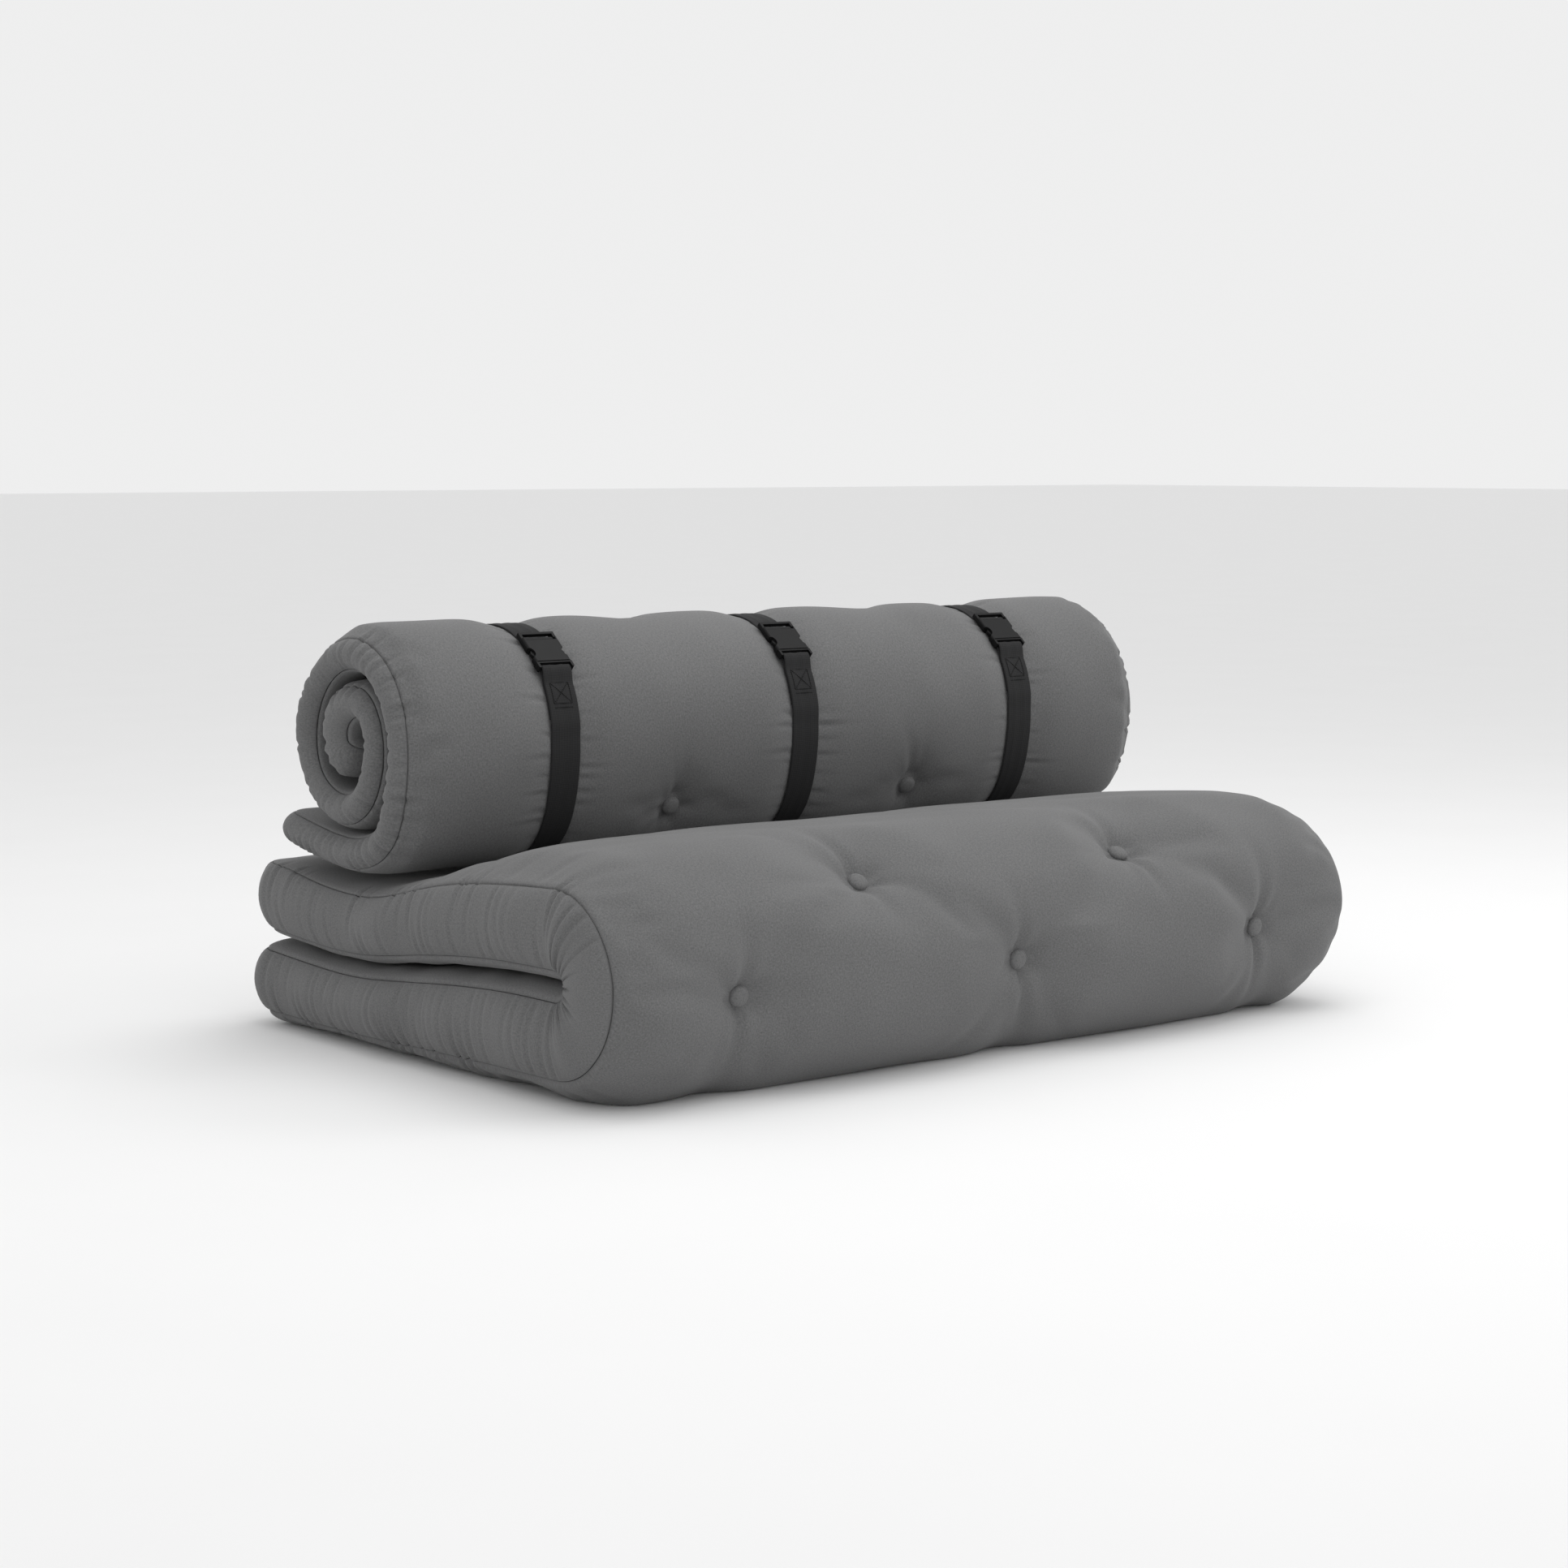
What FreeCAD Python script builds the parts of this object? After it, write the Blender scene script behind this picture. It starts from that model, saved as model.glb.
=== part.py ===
import FreeCAD, Part

import math
import os

V = FreeCAD.Vector

# Frameless futon sofa bed, in millimetres. The seat futon is folded in half over its front
# edge; the back futon is rolled up on top of it at the rear and held by three buckled straps.
# +X runs across the width, -Y is the front, +Z is up. The origin is on the floor, under the
# middle of the whole object.

# ---- overall ----
WIDTH = 1400.0
DEPTH = 936.0
SEAT_HEIGHT = 310.0
FABRIC = 1.5
FACE_GAP = 0.5

# ---- seat futon ----
FOLD_RADIUS = SEAT_HEIGHT / 2
CREASE_Y = FOLD_RADIUS - DEPTH / 2
CREASE_Z = FOLD_RADIUS
SEAT_WADDING = 12.0
LOWER_REAR = DEPTH / 2
LOWER_CORNER = 45.0
UPPER_REAR = 452.0
UPPER_CORNER = 42.0
UPPER_REAR_HEIGHT = 262.0
# The upper half's top, front to rear, with the hollow that the roll presses into it.
UPPER_TOP = [
    (-224.0, 306.0),
    (-120.0, 298.0),
    (-40.0, 285.0),
    (30.0, 268.0),
    (90.0, 252.0),
    (150.0, 243.0),
    (205.0, 242.5),
    (300.0, 248.5),
    (360.0, 256.0),
]

# ---- rolled back futon: the middle line of its pad, from the tail to the inner end ----
ROLL_HALF = 29.0
ROLL_WADDING = 8.0
ROLL_END_BULGE = 15.0
ROLL_PATH = [
    (372.0, 300.0),
    (300.0, 287.5),
    (225.0, 277.5),
    (150.0, 281.5),
    (92.0, 316.0),
    (66.0, 378.0),
    (62.0, 450.0),
    (84.0, 511.0),
    (130.0, 550.0),
    (188.0, 562.0),
    (250.0, 541.0),
    (293.0, 494.0),
    (309.0, 434.0),
    (294.0, 379.0),
    (250.0, 345.0),
    (196.0, 338.0),
    (150.0, 362.0),
    (125.0, 410.0),
    (128.0, 456.0),
    (156.0, 491.0),
    (198.0, 491.0),
    (230.0, 462.0),
    (228.0, 424.0),
    (210.0, 402.0),
]

# ---- tufting ----
BUTTON_RADIUS = 14.0
BUTTON_HEIGHT = 5.0
POCKET_RADIUS = 17.0
POCKET_DEPTH = 12.0
TWINE_RADIUS = 1.0
TWINE_HOLE_RADIUS = 1.3
# The fold's twines are knotted in the foam, short of the crease.
TWINE_END = 4.0
OUTER_COLUMNS = (-490.0, 0.0, 490.0)
INNER_COLUMNS = (-247.0, 247.0)
ROLL_COLUMNS = (-230.0, 230.0)
# Angle above the horizontal at which each tufted row stands on the front fold.
FOLD_ROWS = ((-7.0, OUTER_COLUMNS), (54.0, INNER_COLUMNS))
UPPER_ROWS = ((20.0, OUTER_COLUMNS), (230.0, INNER_COLUMNS))
LOWER_ROWS = ((-200.0, INNER_COLUMNS), (20.0, OUTER_COLUMNS), (230.0, INNER_COLUMNS))
# Share of the pad's length, from the tail, at which each of the roll's rows stands.
ROLL_ROWS = (0.235, 0.490, 0.64, 0.84)

# ---- straps and buckles ----
STRAP_CENTRES = {"left": -437.0, "middle": 0.0, "right": 437.0}
STRAP_WIDTH = 50.0
WEBBING = 2.4
WEBBING_CLEARANCE = 1.0
WEBBING_STEP = 8.0
FOLD_BACK_LENGTH = 62.0
FOLD_BACK_RAMP = 30.0
STITCH_SQUARE = 30.0
STITCH_THREAD = 0.8
BUCKLE_WIDTH = 60.0
BUCKLE_THICKNESS = 12.0
BUCKLE_PLACE = (88.0, 552.0)
BUCKLE_TILT = 41.0
BUCKLE_LIFT = 1.0
SOCKET_MOUTH = -26.0
SOCKET_TOP = 34.0
HOUSING_TOP = 17.0
PLUG_END = -38.0
PRONG_ROOT = (17.0, -26.0)
SOCKET_BAR = (21.0, 4.5)
PLUG_BAR = (-34.5, 5.0)
BAR_RADIUS = 2.0


# ---- flat outlines in the Y-Z plane, drawn at x = 0 ----

def at(y, z):
    return V(0, y, z)


def line(a, b):
    return Part.LineSegment(at(*a), at(*b)).toShape()


def arc(a, b, c):
    return Part.Arc(at(*a), at(*b), at(*c)).toShape()


def spline(points):
    curve = Part.BSplineCurve()
    curve.interpolate([at(*p) for p in points])
    return curve


def face_of(edges):
    return Part.Face(Part.Wire(Part.__sortEdges__(edges)))


def across(face, low, high):
    """The solid that a flat outline sweeps from x = low to x = high."""
    moved = face.copy()
    moved.translate(V(low, 0, 0))
    return moved.extrude(V(high - low, 0, 0))


def half_face(bottom, top, rear, rear_top, corner, inset, overrun=0.0):
    """One seat half: flat below, its own top line, round rear corners, square at the crease."""
    front = CREASE_Y - overrun
    low = bottom + inset
    radius = corner - inset
    turn = radius * math.sqrt(0.5)
    centre_y = rear - corner
    centre_low = bottom + corner
    centre_high = rear_top - corner
    line_points = [(y, z - inset) for y, z in top] + [(centre_y, rear_top - inset)]
    edges = [
        line((front, low), (centre_y, low)),
        arc(
            (centre_y, low),
            (centre_y + turn, centre_low - turn),
            (centre_y + radius, centre_low),
        ),
        line((centre_y + radius, centre_low), (centre_y + radius, centre_high)),
        arc(
            (centre_y + radius, centre_high),
            (centre_y + turn, centre_high + turn),
            line_points[-1],
        ),
        line((front, low), (front, line_points[0][1])),
    ]
    if overrun:
        edges.append(line((front, line_points[0][1]), line_points[0]))
    if len(line_points) == 2:
        edges.append(line(*line_points))
    else:
        edges.append(spline(line_points).toShape())
    return face_of(edges)


def lower_face(inset, overrun=0.0):
    top = CREASE_Z - FACE_GAP / 2
    return half_face(0.0, [(CREASE_Y, top)], LOWER_REAR, top, LOWER_CORNER, inset, overrun)


def upper_face(inset, overrun=0.0):
    bottom = CREASE_Z + FACE_GAP / 2
    top = [(CREASE_Y, SEAT_HEIGHT)] + UPPER_TOP
    return half_face(
        bottom, top, UPPER_REAR, UPPER_REAR_HEIGHT, UPPER_CORNER, inset, overrun
    )


def fold_ring(outer, inner):
    """Half ring round the crease, on its front side."""
    y, z = CREASE_Y, CREASE_Z
    return face_of(
        [
            arc((y, z + outer), (y - outer, z), (y, z - outer)),
            line((y, z - outer), (y, z - inner)),
            arc((y, z - inner), (y - inner, z), (y, z + inner)),
            line((y, z + inner), (y, z + outer)),
        ]
    )


def path_frames(points, count):
    """Places and left-hand normals at even steps along a smooth line."""
    curve = spline(points)
    first, last = curve.FirstParameter, curve.LastParameter
    frames = []
    for step in range(count + 1):
        place = first + (last - first) * step / count
        spot = curve.value(place)
        along = curve.tangent(place)[0]
        frames.append(((spot.y, spot.z), (-along.z, along.y)))
    return frames


def shifted(frame, distance):
    (y, z), (ny, nz) = frame
    return (y + ny * distance, z + nz * distance)


def band_face(frames, half, bulge):
    """A band of one thickness along a line, with rounded ends."""
    left = [shifted(f, half) for f in frames]
    right = [shifted(f, -half) for f in frames]
    (y0, z0), (n0y, n0z) = frames[0]
    (y1, z1), (n1y, n1z) = frames[-1]
    start_tip = (y0 - n0z * bulge, z0 + n0y * bulge)
    end_tip = (y1 + n1z * bulge, z1 - n1y * bulge)
    return face_of(
        [
            spline(left).toShape(),
            arc(left[-1], end_tip, right[-1]),
            spline(right).toShape(),
            arc(left[0], start_tip, right[0]),
        ]
    )


ROLL_FRAMES = path_frames(ROLL_PATH, 92)


def roll_face(inset):
    return band_face(ROLL_FRAMES, ROLL_HALF - inset, ROLL_END_BULGE - inset)


# ---- tufts: a button sunk in each face, and the twine between them ----

def rod(place, direction, radius, length):
    return Part.makeCylinder(radius, length, place, direction)


def button(place, outward):
    """A covered button: a short drum under a shallow dome."""
    sunk = place - outward * POCKET_DEPTH
    drum = rod(sunk, outward, BUTTON_RADIUS, BUTTON_HEIGHT)
    rim = drum.Edges[0] if drum.Edges[0].CenterOfMass.sub(sunk).Length > 1 else drum.Edges[2]
    return drum.makeFillet(BUTTON_HEIGHT * 0.7, [rim])


def pocket(place, outward):
    start = place - outward * POCKET_DEPTH
    return rod(start, outward, POCKET_RADIUS, POCKET_DEPTH * 2)


def twine(first, second, radius):
    """Straight twine between the bottoms of two pockets."""
    along = second.sub(first)
    length = along.Length - 2 * POCKET_DEPTH
    along.normalize()
    return rod(first + along * POCKET_DEPTH, along, radius, length)


def top_height(y):
    """Height of the upper half's top at a depth y."""
    points = [(CREASE_Y, SEAT_HEIGHT)] + UPPER_TOP + [(UPPER_REAR, UPPER_REAR_HEIGHT)]
    for (ya, za), (yb, zb) in zip(points, points[1:]):
        if ya <= y <= yb:
            return za + (zb - za) * (y - ya) / (yb - ya)
    return UPPER_REAR_HEIGHT


def half_tufts(rows, low, high_of):
    """Pairs of places, lower face first, for a seat half."""
    tufts = []
    for y, columns in rows:
        tufts += [(V(x, y, low), V(x, y, high_of(y))) for x in columns]
    return tufts


def fold_tufts():
    """Pairs of places on the fold: outer face first, then the crease."""
    tufts = []
    for angle, columns in FOLD_ROWS:
        out_y = -math.cos(math.radians(angle))
        out_z = math.sin(math.radians(angle))
        for x in columns:
            outer = V(x, CREASE_Y + out_y * FOLD_RADIUS, CREASE_Z + out_z * FOLD_RADIUS)
            inner = V(x, CREASE_Y + out_y * TWINE_END, CREASE_Z + out_z * TWINE_END)
            tufts.append((outer, inner))
    return tufts


def roll_tufts():
    """Pairs of places on the rolled pad: outer face first."""
    tufts = []
    for share in ROLL_ROWS:
        frame = ROLL_FRAMES[round(share * (len(ROLL_FRAMES) - 1))]
        outer = shifted(frame, ROLL_HALF)
        inner = shifted(frame, -ROLL_HALF)
        tufts += [(V(x, *outer), V(x, *inner)) for x in ROLL_COLUMNS]
    return tufts


def outward(pair):
    """Unit direction from the second place of a tuft to its first."""
    direction = pair[0].sub(pair[1])
    direction.normalize()
    return direction


def tuft_nodes(prefix, tufts, names, both=True):
    """Button groups on each face, and the twines."""
    first = Part.makeCompound([button(a, outward((a, b))) for a, b in tufts])
    nodes = {f"{prefix}_{names[0]}_buttons": first}
    if both:
        second = Part.makeCompound([button(b, outward((b, a))) for a, b in tufts])
        nodes[f"{prefix}_{names[1]}_buttons"] = second
    nodes[f"{prefix}_tufting_twines"] = Part.makeCompound(
        [twine(a, b, TWINE_RADIUS) for a, b in tufts]
    )
    return nodes


def padded_nodes(prefix, faces, tufts, both=True):
    """Cover, end bands, wadding and foam core of one padded stretch."""
    skin, wadding, core = faces
    end = WIDTH / 2
    inside = end - FABRIC
    pockets = [pocket(a, outward((a, b))) for a, b in tufts]
    if both:
        pockets += [pocket(b, outward((b, a))) for a, b in tufts]
    holes = [twine(a, b, TWINE_HOLE_RADIUS) for a, b in tufts]
    whole = skin[0]
    nodes = {}
    panels = [across(face, -inside, inside).cut(pockets) for face in skin[1]]
    nodes[f"{prefix}_cover"] = Part.makeCompound(panels)
    nodes[f"{prefix}_left_end_band"] = across(whole, -end, -inside)
    nodes[f"{prefix}_right_end_band"] = across(whole, inside, end)
    fibre = [across(face, -inside, inside).cut(pockets + holes) for face in wadding]
    nodes[f"{prefix}_wadding"] = Part.makeCompound(fibre)
    nodes[f"{prefix}_core"] = across(core, -inside, inside).cut(pockets + holes)
    return nodes


def layers(face_at, wadding, open_end=True):
    """Skin, wadding and core faces, one inside the other."""
    overrun = {"overrun": 5.0} if open_end else {}
    depth = FABRIC + wadding
    skin = face_at(0.0).cut(face_at(FABRIC, **overrun))
    fibre = face_at(FABRIC).cut(face_at(depth, **overrun))
    return (face_at(0.0), [skin]), [fibre], face_at(depth)


def seat_lower():
    tufts = half_tufts(LOWER_ROWS, 0.0, lambda y: CREASE_Z - FACE_GAP / 2)
    nodes = padded_nodes("seat_lower", layers(lower_face, SEAT_WADDING), tufts)
    nodes.update(tuft_nodes("seat_lower", tufts, ("bottom", "inner")))
    return nodes


def seat_upper():
    tufts = half_tufts(UPPER_ROWS, CREASE_Z + FACE_GAP / 2, top_height)
    nodes = padded_nodes("seat_upper", layers(upper_face, SEAT_WADDING), tufts)
    nodes.update(tuft_nodes("seat_upper", tufts, ("inner", "top")))
    return nodes


def seat_fold():
    crease = FACE_GAP / 2
    lining = crease + FABRIC
    outer = FOLD_RADIUS - FABRIC
    deep = FABRIC + SEAT_WADDING
    whole = fold_ring(FOLD_RADIUS, crease)
    skin = [fold_ring(FOLD_RADIUS, outer), fold_ring(lining, crease)]
    fibre = [
        fold_ring(outer, FOLD_RADIUS - deep),
        fold_ring(crease + deep, lining),
    ]
    core = fold_ring(FOLD_RADIUS - deep, crease + deep)
    tufts = fold_tufts()
    nodes = padded_nodes("seat_fold", ((whole, skin), fibre, core), tufts, both=False)
    nodes.update(tuft_nodes("seat_fold", tufts, ("front",), both=False))
    return nodes


def back_roll():
    tufts = roll_tufts()
    faces = layers(roll_face, ROLL_WADDING, open_end=False)
    nodes = padded_nodes("back_roll", faces, tufts)
    nodes.update(tuft_nodes("back_roll", tufts, ("outer", "inner")))
    return nodes


# ---- straps ----

def hull(points):
    """The convex outline round a set of points, turning left."""
    points = sorted(set(points))

    def chain(items):
        out = []
        for p in items:
            while len(out) > 1 and turn(out[-2], out[-1], p) <= 0:
                out.pop()
            out.append(p)
        return out[:-1]

    return chain(points) + chain(points[::-1])


def turn(a, b, c):
    return (b[0] - a[0]) * (c[1] - a[1]) - (b[1] - a[1]) * (c[0] - a[0])


def roll_hull():
    """Convex outline of the roll and its tail, which the straps follow."""
    tip = ROLL_FRAMES[0]
    tail = [shifted(tip, ROLL_HALF * math.sin(math.radians(a))) for a in range(-90, 91, 15)]
    (_, (ny, nz)) = tip
    rounded = []
    for (y, z), a in zip(tail, range(-90, 91, 15)):
        reach = ROLL_END_BULGE * math.cos(math.radians(a))
        rounded.append((y - nz * reach, z + ny * reach))
    return hull([shifted(f, ROLL_HALF) for f in ROLL_FRAMES] + rounded)


def evenly(points, spacing):
    """Points at an even spacing along an open chain of points."""
    out = [points[0]]
    left = spacing
    for a, b in zip(points, points[1:]):
        length = math.dist(a, b)
        while length > left:
            share = left / length
            a = (a[0] + (b[0] - a[0]) * share, a[1] + (b[1] - a[1]) * share)
            out.append(a)
            length = math.dist(a, b)
            left = spacing
        left -= length
    return out


def local(place):
    """From the buckle's own length and thickness to depth and height."""
    along, up = place
    c = math.cos(math.radians(BUCKLE_TILT))
    s = math.sin(math.radians(BUCKLE_TILT))
    return (BUCKLE_ORIGIN[0] + along * c - up * s, BUCKLE_ORIGIN[1] + along * s + up * c)


def buckle_origin():
    """The middle of the buckle's underside, just clear of the roll."""
    s = math.sin(math.radians(BUCKLE_TILT))
    c = math.cos(math.radians(BUCKLE_TILT))
    reach = max(-p[0] * s + p[1] * c for p in roll_hull())
    here = -BUCKLE_PLACE[0] * s + BUCKLE_PLACE[1] * c
    lift = reach + BUCKLE_LIFT - here
    return (BUCKLE_PLACE[0] - s * lift, BUCKLE_PLACE[1] + c * lift)


BUCKLE_ORIGIN = buckle_origin()


def strap_run():
    """The hull from the socket end, round the back and under, to the plug end."""
    loop = hull(roll_hull())
    near_socket = local((SOCKET_TOP + 8.0, 0.0))
    near_plug = local((PLUG_END - 8.0, 0.0))
    start = min(range(len(loop)), key=lambda i: math.dist(loop[i], near_socket))
    loop = loop[start:] + loop[:start]
    if math.dist(loop[1], near_plug) < math.dist(loop[-1], near_plug):
        loop = [loop[0]] + loop[:0:-1]
    stop = min(range(len(loop)), key=lambda i: math.dist(loop[i], near_plug))
    return evenly(loop[: stop + 1], WEBBING_STEP)


def run_frames(points):
    """Places on a chain of points, with normals that point away from the roll."""
    frames = path_frames(points, len(points))
    centre = (190.0, 420.0)
    (y, z), (ny, nz) = frames[len(frames) // 2]
    facing = (y - centre[0]) * ny + (z - centre[1]) * nz
    return frames if facing > 0 else [(p, (-n[0], -n[1])) for p, n in frames]


def around_bar(bar, first, last, radius):
    """Points of the webbing's middle as it passes round a bar."""
    steps = 6
    angles = [math.radians(first + (last - first) * i / steps) for i in range(steps + 1)]
    return [
        local((bar[0] + radius * math.cos(a), bar[1] + radius * math.sin(a))) for a in angles
    ]


def webbing_middle():
    """The webbing's middle line: socket bar, round the roll, plug bar, sewn end."""
    frames = run_frames(strap_run())
    rest = WEBBING_CLEARANCE + WEBBING / 2
    stacked = rest + WEBBING + 0.3
    wrap = BAR_RADIUS + WEBBING / 2 + 0.3
    lengths = [0.0]
    for a, b in zip(frames[::-1], frames[-2::-1]):
        lengths.append(lengths[-1] + math.dist(a[0], b[0]))
    lengths = lengths[::-1]
    middle = around_bar(SOCKET_BAR, 170.0, 60.0, wrap)
    middle.append(local((SOCKET_TOP - 4.5, 1.2)))
    for frame, to_plug in zip(frames, lengths):
        share = (FOLD_BACK_LENGTH + FOLD_BACK_RAMP - to_plug) / FOLD_BACK_RAMP
        share = min(1.0, max(0.0, share))
        middle.append(shifted(frame, rest + (stacked - rest) * share))
    middle += around_bar(PLUG_BAR, 115.0, -100.0, wrap)
    sewn = [f for f, to_plug in zip(frames, lengths) if to_plug < FOLD_BACK_LENGTH]
    middle += [shifted(frame, rest) for frame in sewn[::-1]]
    return middle


def webbing_face():
    """The webbing's edge view, in short straight steps."""
    middle = webbing_middle()
    before = middle[:1] + middle[:-1]
    after = middle[1:] + middle[-1:]
    left = []
    right = []
    for spot, last, following in zip(middle, before, after):
        length = math.dist(last, following)
        normal = ((last[1] - following[1]) / length, (following[0] - last[0]) / length)
        left.append(at(*shifted((spot, normal), WEBBING / 2)))
        right.append(at(*shifted((spot, normal), -WEBBING / 2)))
    ring = left + right[::-1]
    return Part.Face(Part.makePolygon(ring + ring[:1]))


def stitching(x):
    """The box-and-cross seam and the bars above and below it, on the webbing's face."""
    frames = run_frames(strap_run())
    surface = WEBBING_CLEARANCE + 2 * WEBBING + 0.35
    place, normal = frames[-1 - round((STITCH_SQUARE / 2 + 8.0) / WEBBING_STEP)]
    y, z = shifted((place, normal), surface)
    tilt = math.degrees(math.atan2(-normal[0], normal[1]))
    half = STITCH_SQUARE / 2
    t = STITCH_THREAD
    bars = []
    for shift in (-half - 5.0, -half, half, half + 5.0):
        bars.append(Part.makeBox(2 * half + t, t, t, V(-half - t / 2, shift - t / 2, 0)))
    for shift in (-half, half):
        bars.append(Part.makeBox(t, 2 * half, t, V(shift - t / 2, -half, 0)))
    for angle in (45.0, -45.0):
        length = 2 * half * math.sqrt(2)
        bar = Part.makeBox(length, t, t, V(-length / 2, -t / 2, 0))
        bar.rotate(V(0, 0, 0), V(0, 0, 1), angle)
        bars.append(bar)
    seam = bars[0].multiFuse(bars[1:])
    seam.rotate(V(0, 0, 0), V(1, 0, 0), tilt)
    seam.translate(V(x, y, z))
    return seam


# ---- side-release buckles, drawn flat: X across, Y along the strap, Z outwards ----

def block(x, y, z):
    """A box from its low and high limits along each axis."""
    return Part.makeBox(x[1] - x[0], y[1] - y[0], z[1] - z[0], V(x[0], y[0], z[0]))


def softened(shape, radius, axis):
    """Rounds the edges that run along one axis."""
    edges = []
    for edge in shape.Edges:
        ends = edge.Vertexes
        if len(ends) == 2:
            run = ends[1].Point.sub(ends[0].Point)
            if abs(run.dot(axis)) > run.Length * 0.999:
                edges.append(edge)
    return shape.makeFillet(radius, edges)


def socket():
    """Housing with a cavity and side windows, and a frame with the adjuster bar."""
    half = BUCKLE_WIDTH / 2
    shell = block((-half, half), (SOCKET_MOUTH, SOCKET_TOP), (0, BUCKLE_THICKNESS))
    shell = softened(shell, 4.0, V(0, 1, 0))
    cavity = block((-26, 26), (SOCKET_MOUTH - 1, 9), (2.8, 9.2))
    windows = [Part.makeCylinder(10, 40, V(x, -8, -10)) for x in (-half - 3, half + 3)]
    slot = block((-25.5, 25.5), (HOUSING_TOP - 1, SOCKET_TOP - 4), (-1, BUCKLE_THICKNESS + 1))
    top_step = block((-40, 40), (SOCKET_TOP - 12, SOCKET_TOP + 1), (9.5, 20))
    under_step = block((-25.5, 25.5), (HOUSING_TOP, SOCKET_TOP + 1), (-1, 3.6))
    body = shell.cut([cavity, slot, top_step, under_step] + windows)
    bar = rod(V(-27, *SOCKET_BAR), V(1, 0, 0), BAR_RADIUS, 54)
    return body.fuse(bar)


def plug():
    """Base with the webbing bar between two ears, and the guide tongue."""
    half = BUCKLE_WIDTH / 2
    front = SOCKET_MOUTH - 0.5
    base = block((-half, half), (front - 3.0, front), (1.0, 11.0))
    ears = [
        softened(block((x, x + 3.8), (PLUG_END, front), (1.0, 11.0)), 1.6, V(0, 0, 1))
        for x in (-half, half - 3.8)
    ]
    tongue = block((-6, 6), (front - 0.5, 6), (4, 8))
    bar = rod(V(-half + 1, *PLUG_BAR), V(1, 0, 0), BAR_RADIUS, BUCKLE_WIDTH - 2)
    return base.multiFuse(ears + [tongue, bar])


def prong(side):
    """A sprung arm with a rounded grip that fills the socket's side window."""
    outline = [
        (15.0, -25.6),
        (19.0, -25.6),
        (20.5, -17.0),
        (26.5, -13.5),
        (28.8, -8.0),
        (26.8, -2.5),
        (22.0, 0.0),
        (18.5, -4.0),
        (16.6, -16.0),
    ]
    points = [V(side * x, y, 3.4) for x, y in outline]
    face = Part.Face(Part.makePolygon(points + points[:1]))
    arm = face.extrude(V(0, 0, 5.2))
    return arm


def placed(shape, x):
    """A buckle piece, turned and moved from its own flat frame to its strap."""
    moved = shape.copy()
    moved.rotate(V(0, 0, 0), V(1, 0, 0), BUCKLE_TILT)
    moved.translate(V(x, *BUCKLE_ORIGIN))
    return moved


def straps():
    webbing = webbing_face()
    nodes = {}
    for name, x in STRAP_CENTRES.items():
        half = STRAP_WIDTH / 2
        nodes[f"{name}_strap_webbing"] = across(webbing, x - half, x + half)
        nodes[f"{name}_strap_stitching"] = stitching(x)
        nodes[f"{name}_buckle_socket"] = placed(socket(), x)
        nodes[f"{name}_buckle_plug"] = placed(plug(), x)
        nodes[f"{name}_buckle_left_prong"] = placed(prong(-1), x)
        nodes[f"{name}_buckle_right_prong"] = placed(prong(1), x)
    return nodes


def main():
    os.makedirs("parts", exist_ok=True)
    nodes = {}
    for group in (seat_lower, seat_fold, seat_upper, back_roll, straps):
        nodes.update(group())
    for name, shape in nodes.items():
        shape.exportStep(f"parts/{name}.step")
        solids = len(shape.Solids)
        print(f"{name}: {solids} solids, {shape.Volume / 1000:.1f} cm3, valid {shape.isValid()}")
    hinge = local(PRONG_ROOT[1:] + (0.0,))
    print("buckle origin", BUCKLE_ORIGIN, "prong hinge", hinge)


main()
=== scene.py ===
"""Looks of a frameless futon sofa bed: a folded seat futon, a rolled back futon and three buckled straps.

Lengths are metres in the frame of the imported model: X across the width, -Y the front, Z up.
"""
import logging
import math
from dataclasses import dataclass, field
from enum import Enum
from typing import Callable

import bpy
import numpy as np
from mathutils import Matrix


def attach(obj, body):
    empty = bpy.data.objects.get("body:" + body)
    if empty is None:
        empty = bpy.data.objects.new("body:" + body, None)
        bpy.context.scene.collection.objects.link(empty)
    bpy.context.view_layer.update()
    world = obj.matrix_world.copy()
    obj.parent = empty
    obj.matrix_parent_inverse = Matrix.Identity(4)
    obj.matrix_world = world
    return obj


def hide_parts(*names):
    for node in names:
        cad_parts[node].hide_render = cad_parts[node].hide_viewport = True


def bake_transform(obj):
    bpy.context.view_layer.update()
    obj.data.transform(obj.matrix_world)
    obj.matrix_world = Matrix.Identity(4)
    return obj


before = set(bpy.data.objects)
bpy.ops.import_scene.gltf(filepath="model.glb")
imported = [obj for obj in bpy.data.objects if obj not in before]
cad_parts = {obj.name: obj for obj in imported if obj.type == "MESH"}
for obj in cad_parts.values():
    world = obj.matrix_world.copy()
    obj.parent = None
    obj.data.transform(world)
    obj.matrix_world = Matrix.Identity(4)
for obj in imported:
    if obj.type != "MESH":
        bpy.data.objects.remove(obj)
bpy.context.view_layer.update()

log = logging.getLogger("futon")

# First number of every seeded random source.
SEED = 20260519
# How much deeper the folds round the buttons are made than their listed depths.
CREASE_STRENGTH = 1.5
# Half the width of both futons' panels, before their bands bulge.
HALF_WIDTH = 0.691
# The line where the seat's two halves meet at the fold.
CREASE_DEPTH = -0.313
CREASE_HEIGHT = 0.155
# A place inside the roll, as depth and height, to tell its outside from its inside.
ROLL_CENTRE = (0.19, 0.42)
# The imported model's plain solids that a stretch of futon stands for.
SOFT_NODES = ("cover", "left_end_band", "right_end_band", "wadding", "core", "tufting_twines")
# Squares, last frame and pressure of the cloth solver.
SOLVER_SQUARE = 0.0155
SOLVER_FRAMES = 18
STUFFING_PRESSURE = 4.0
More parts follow.
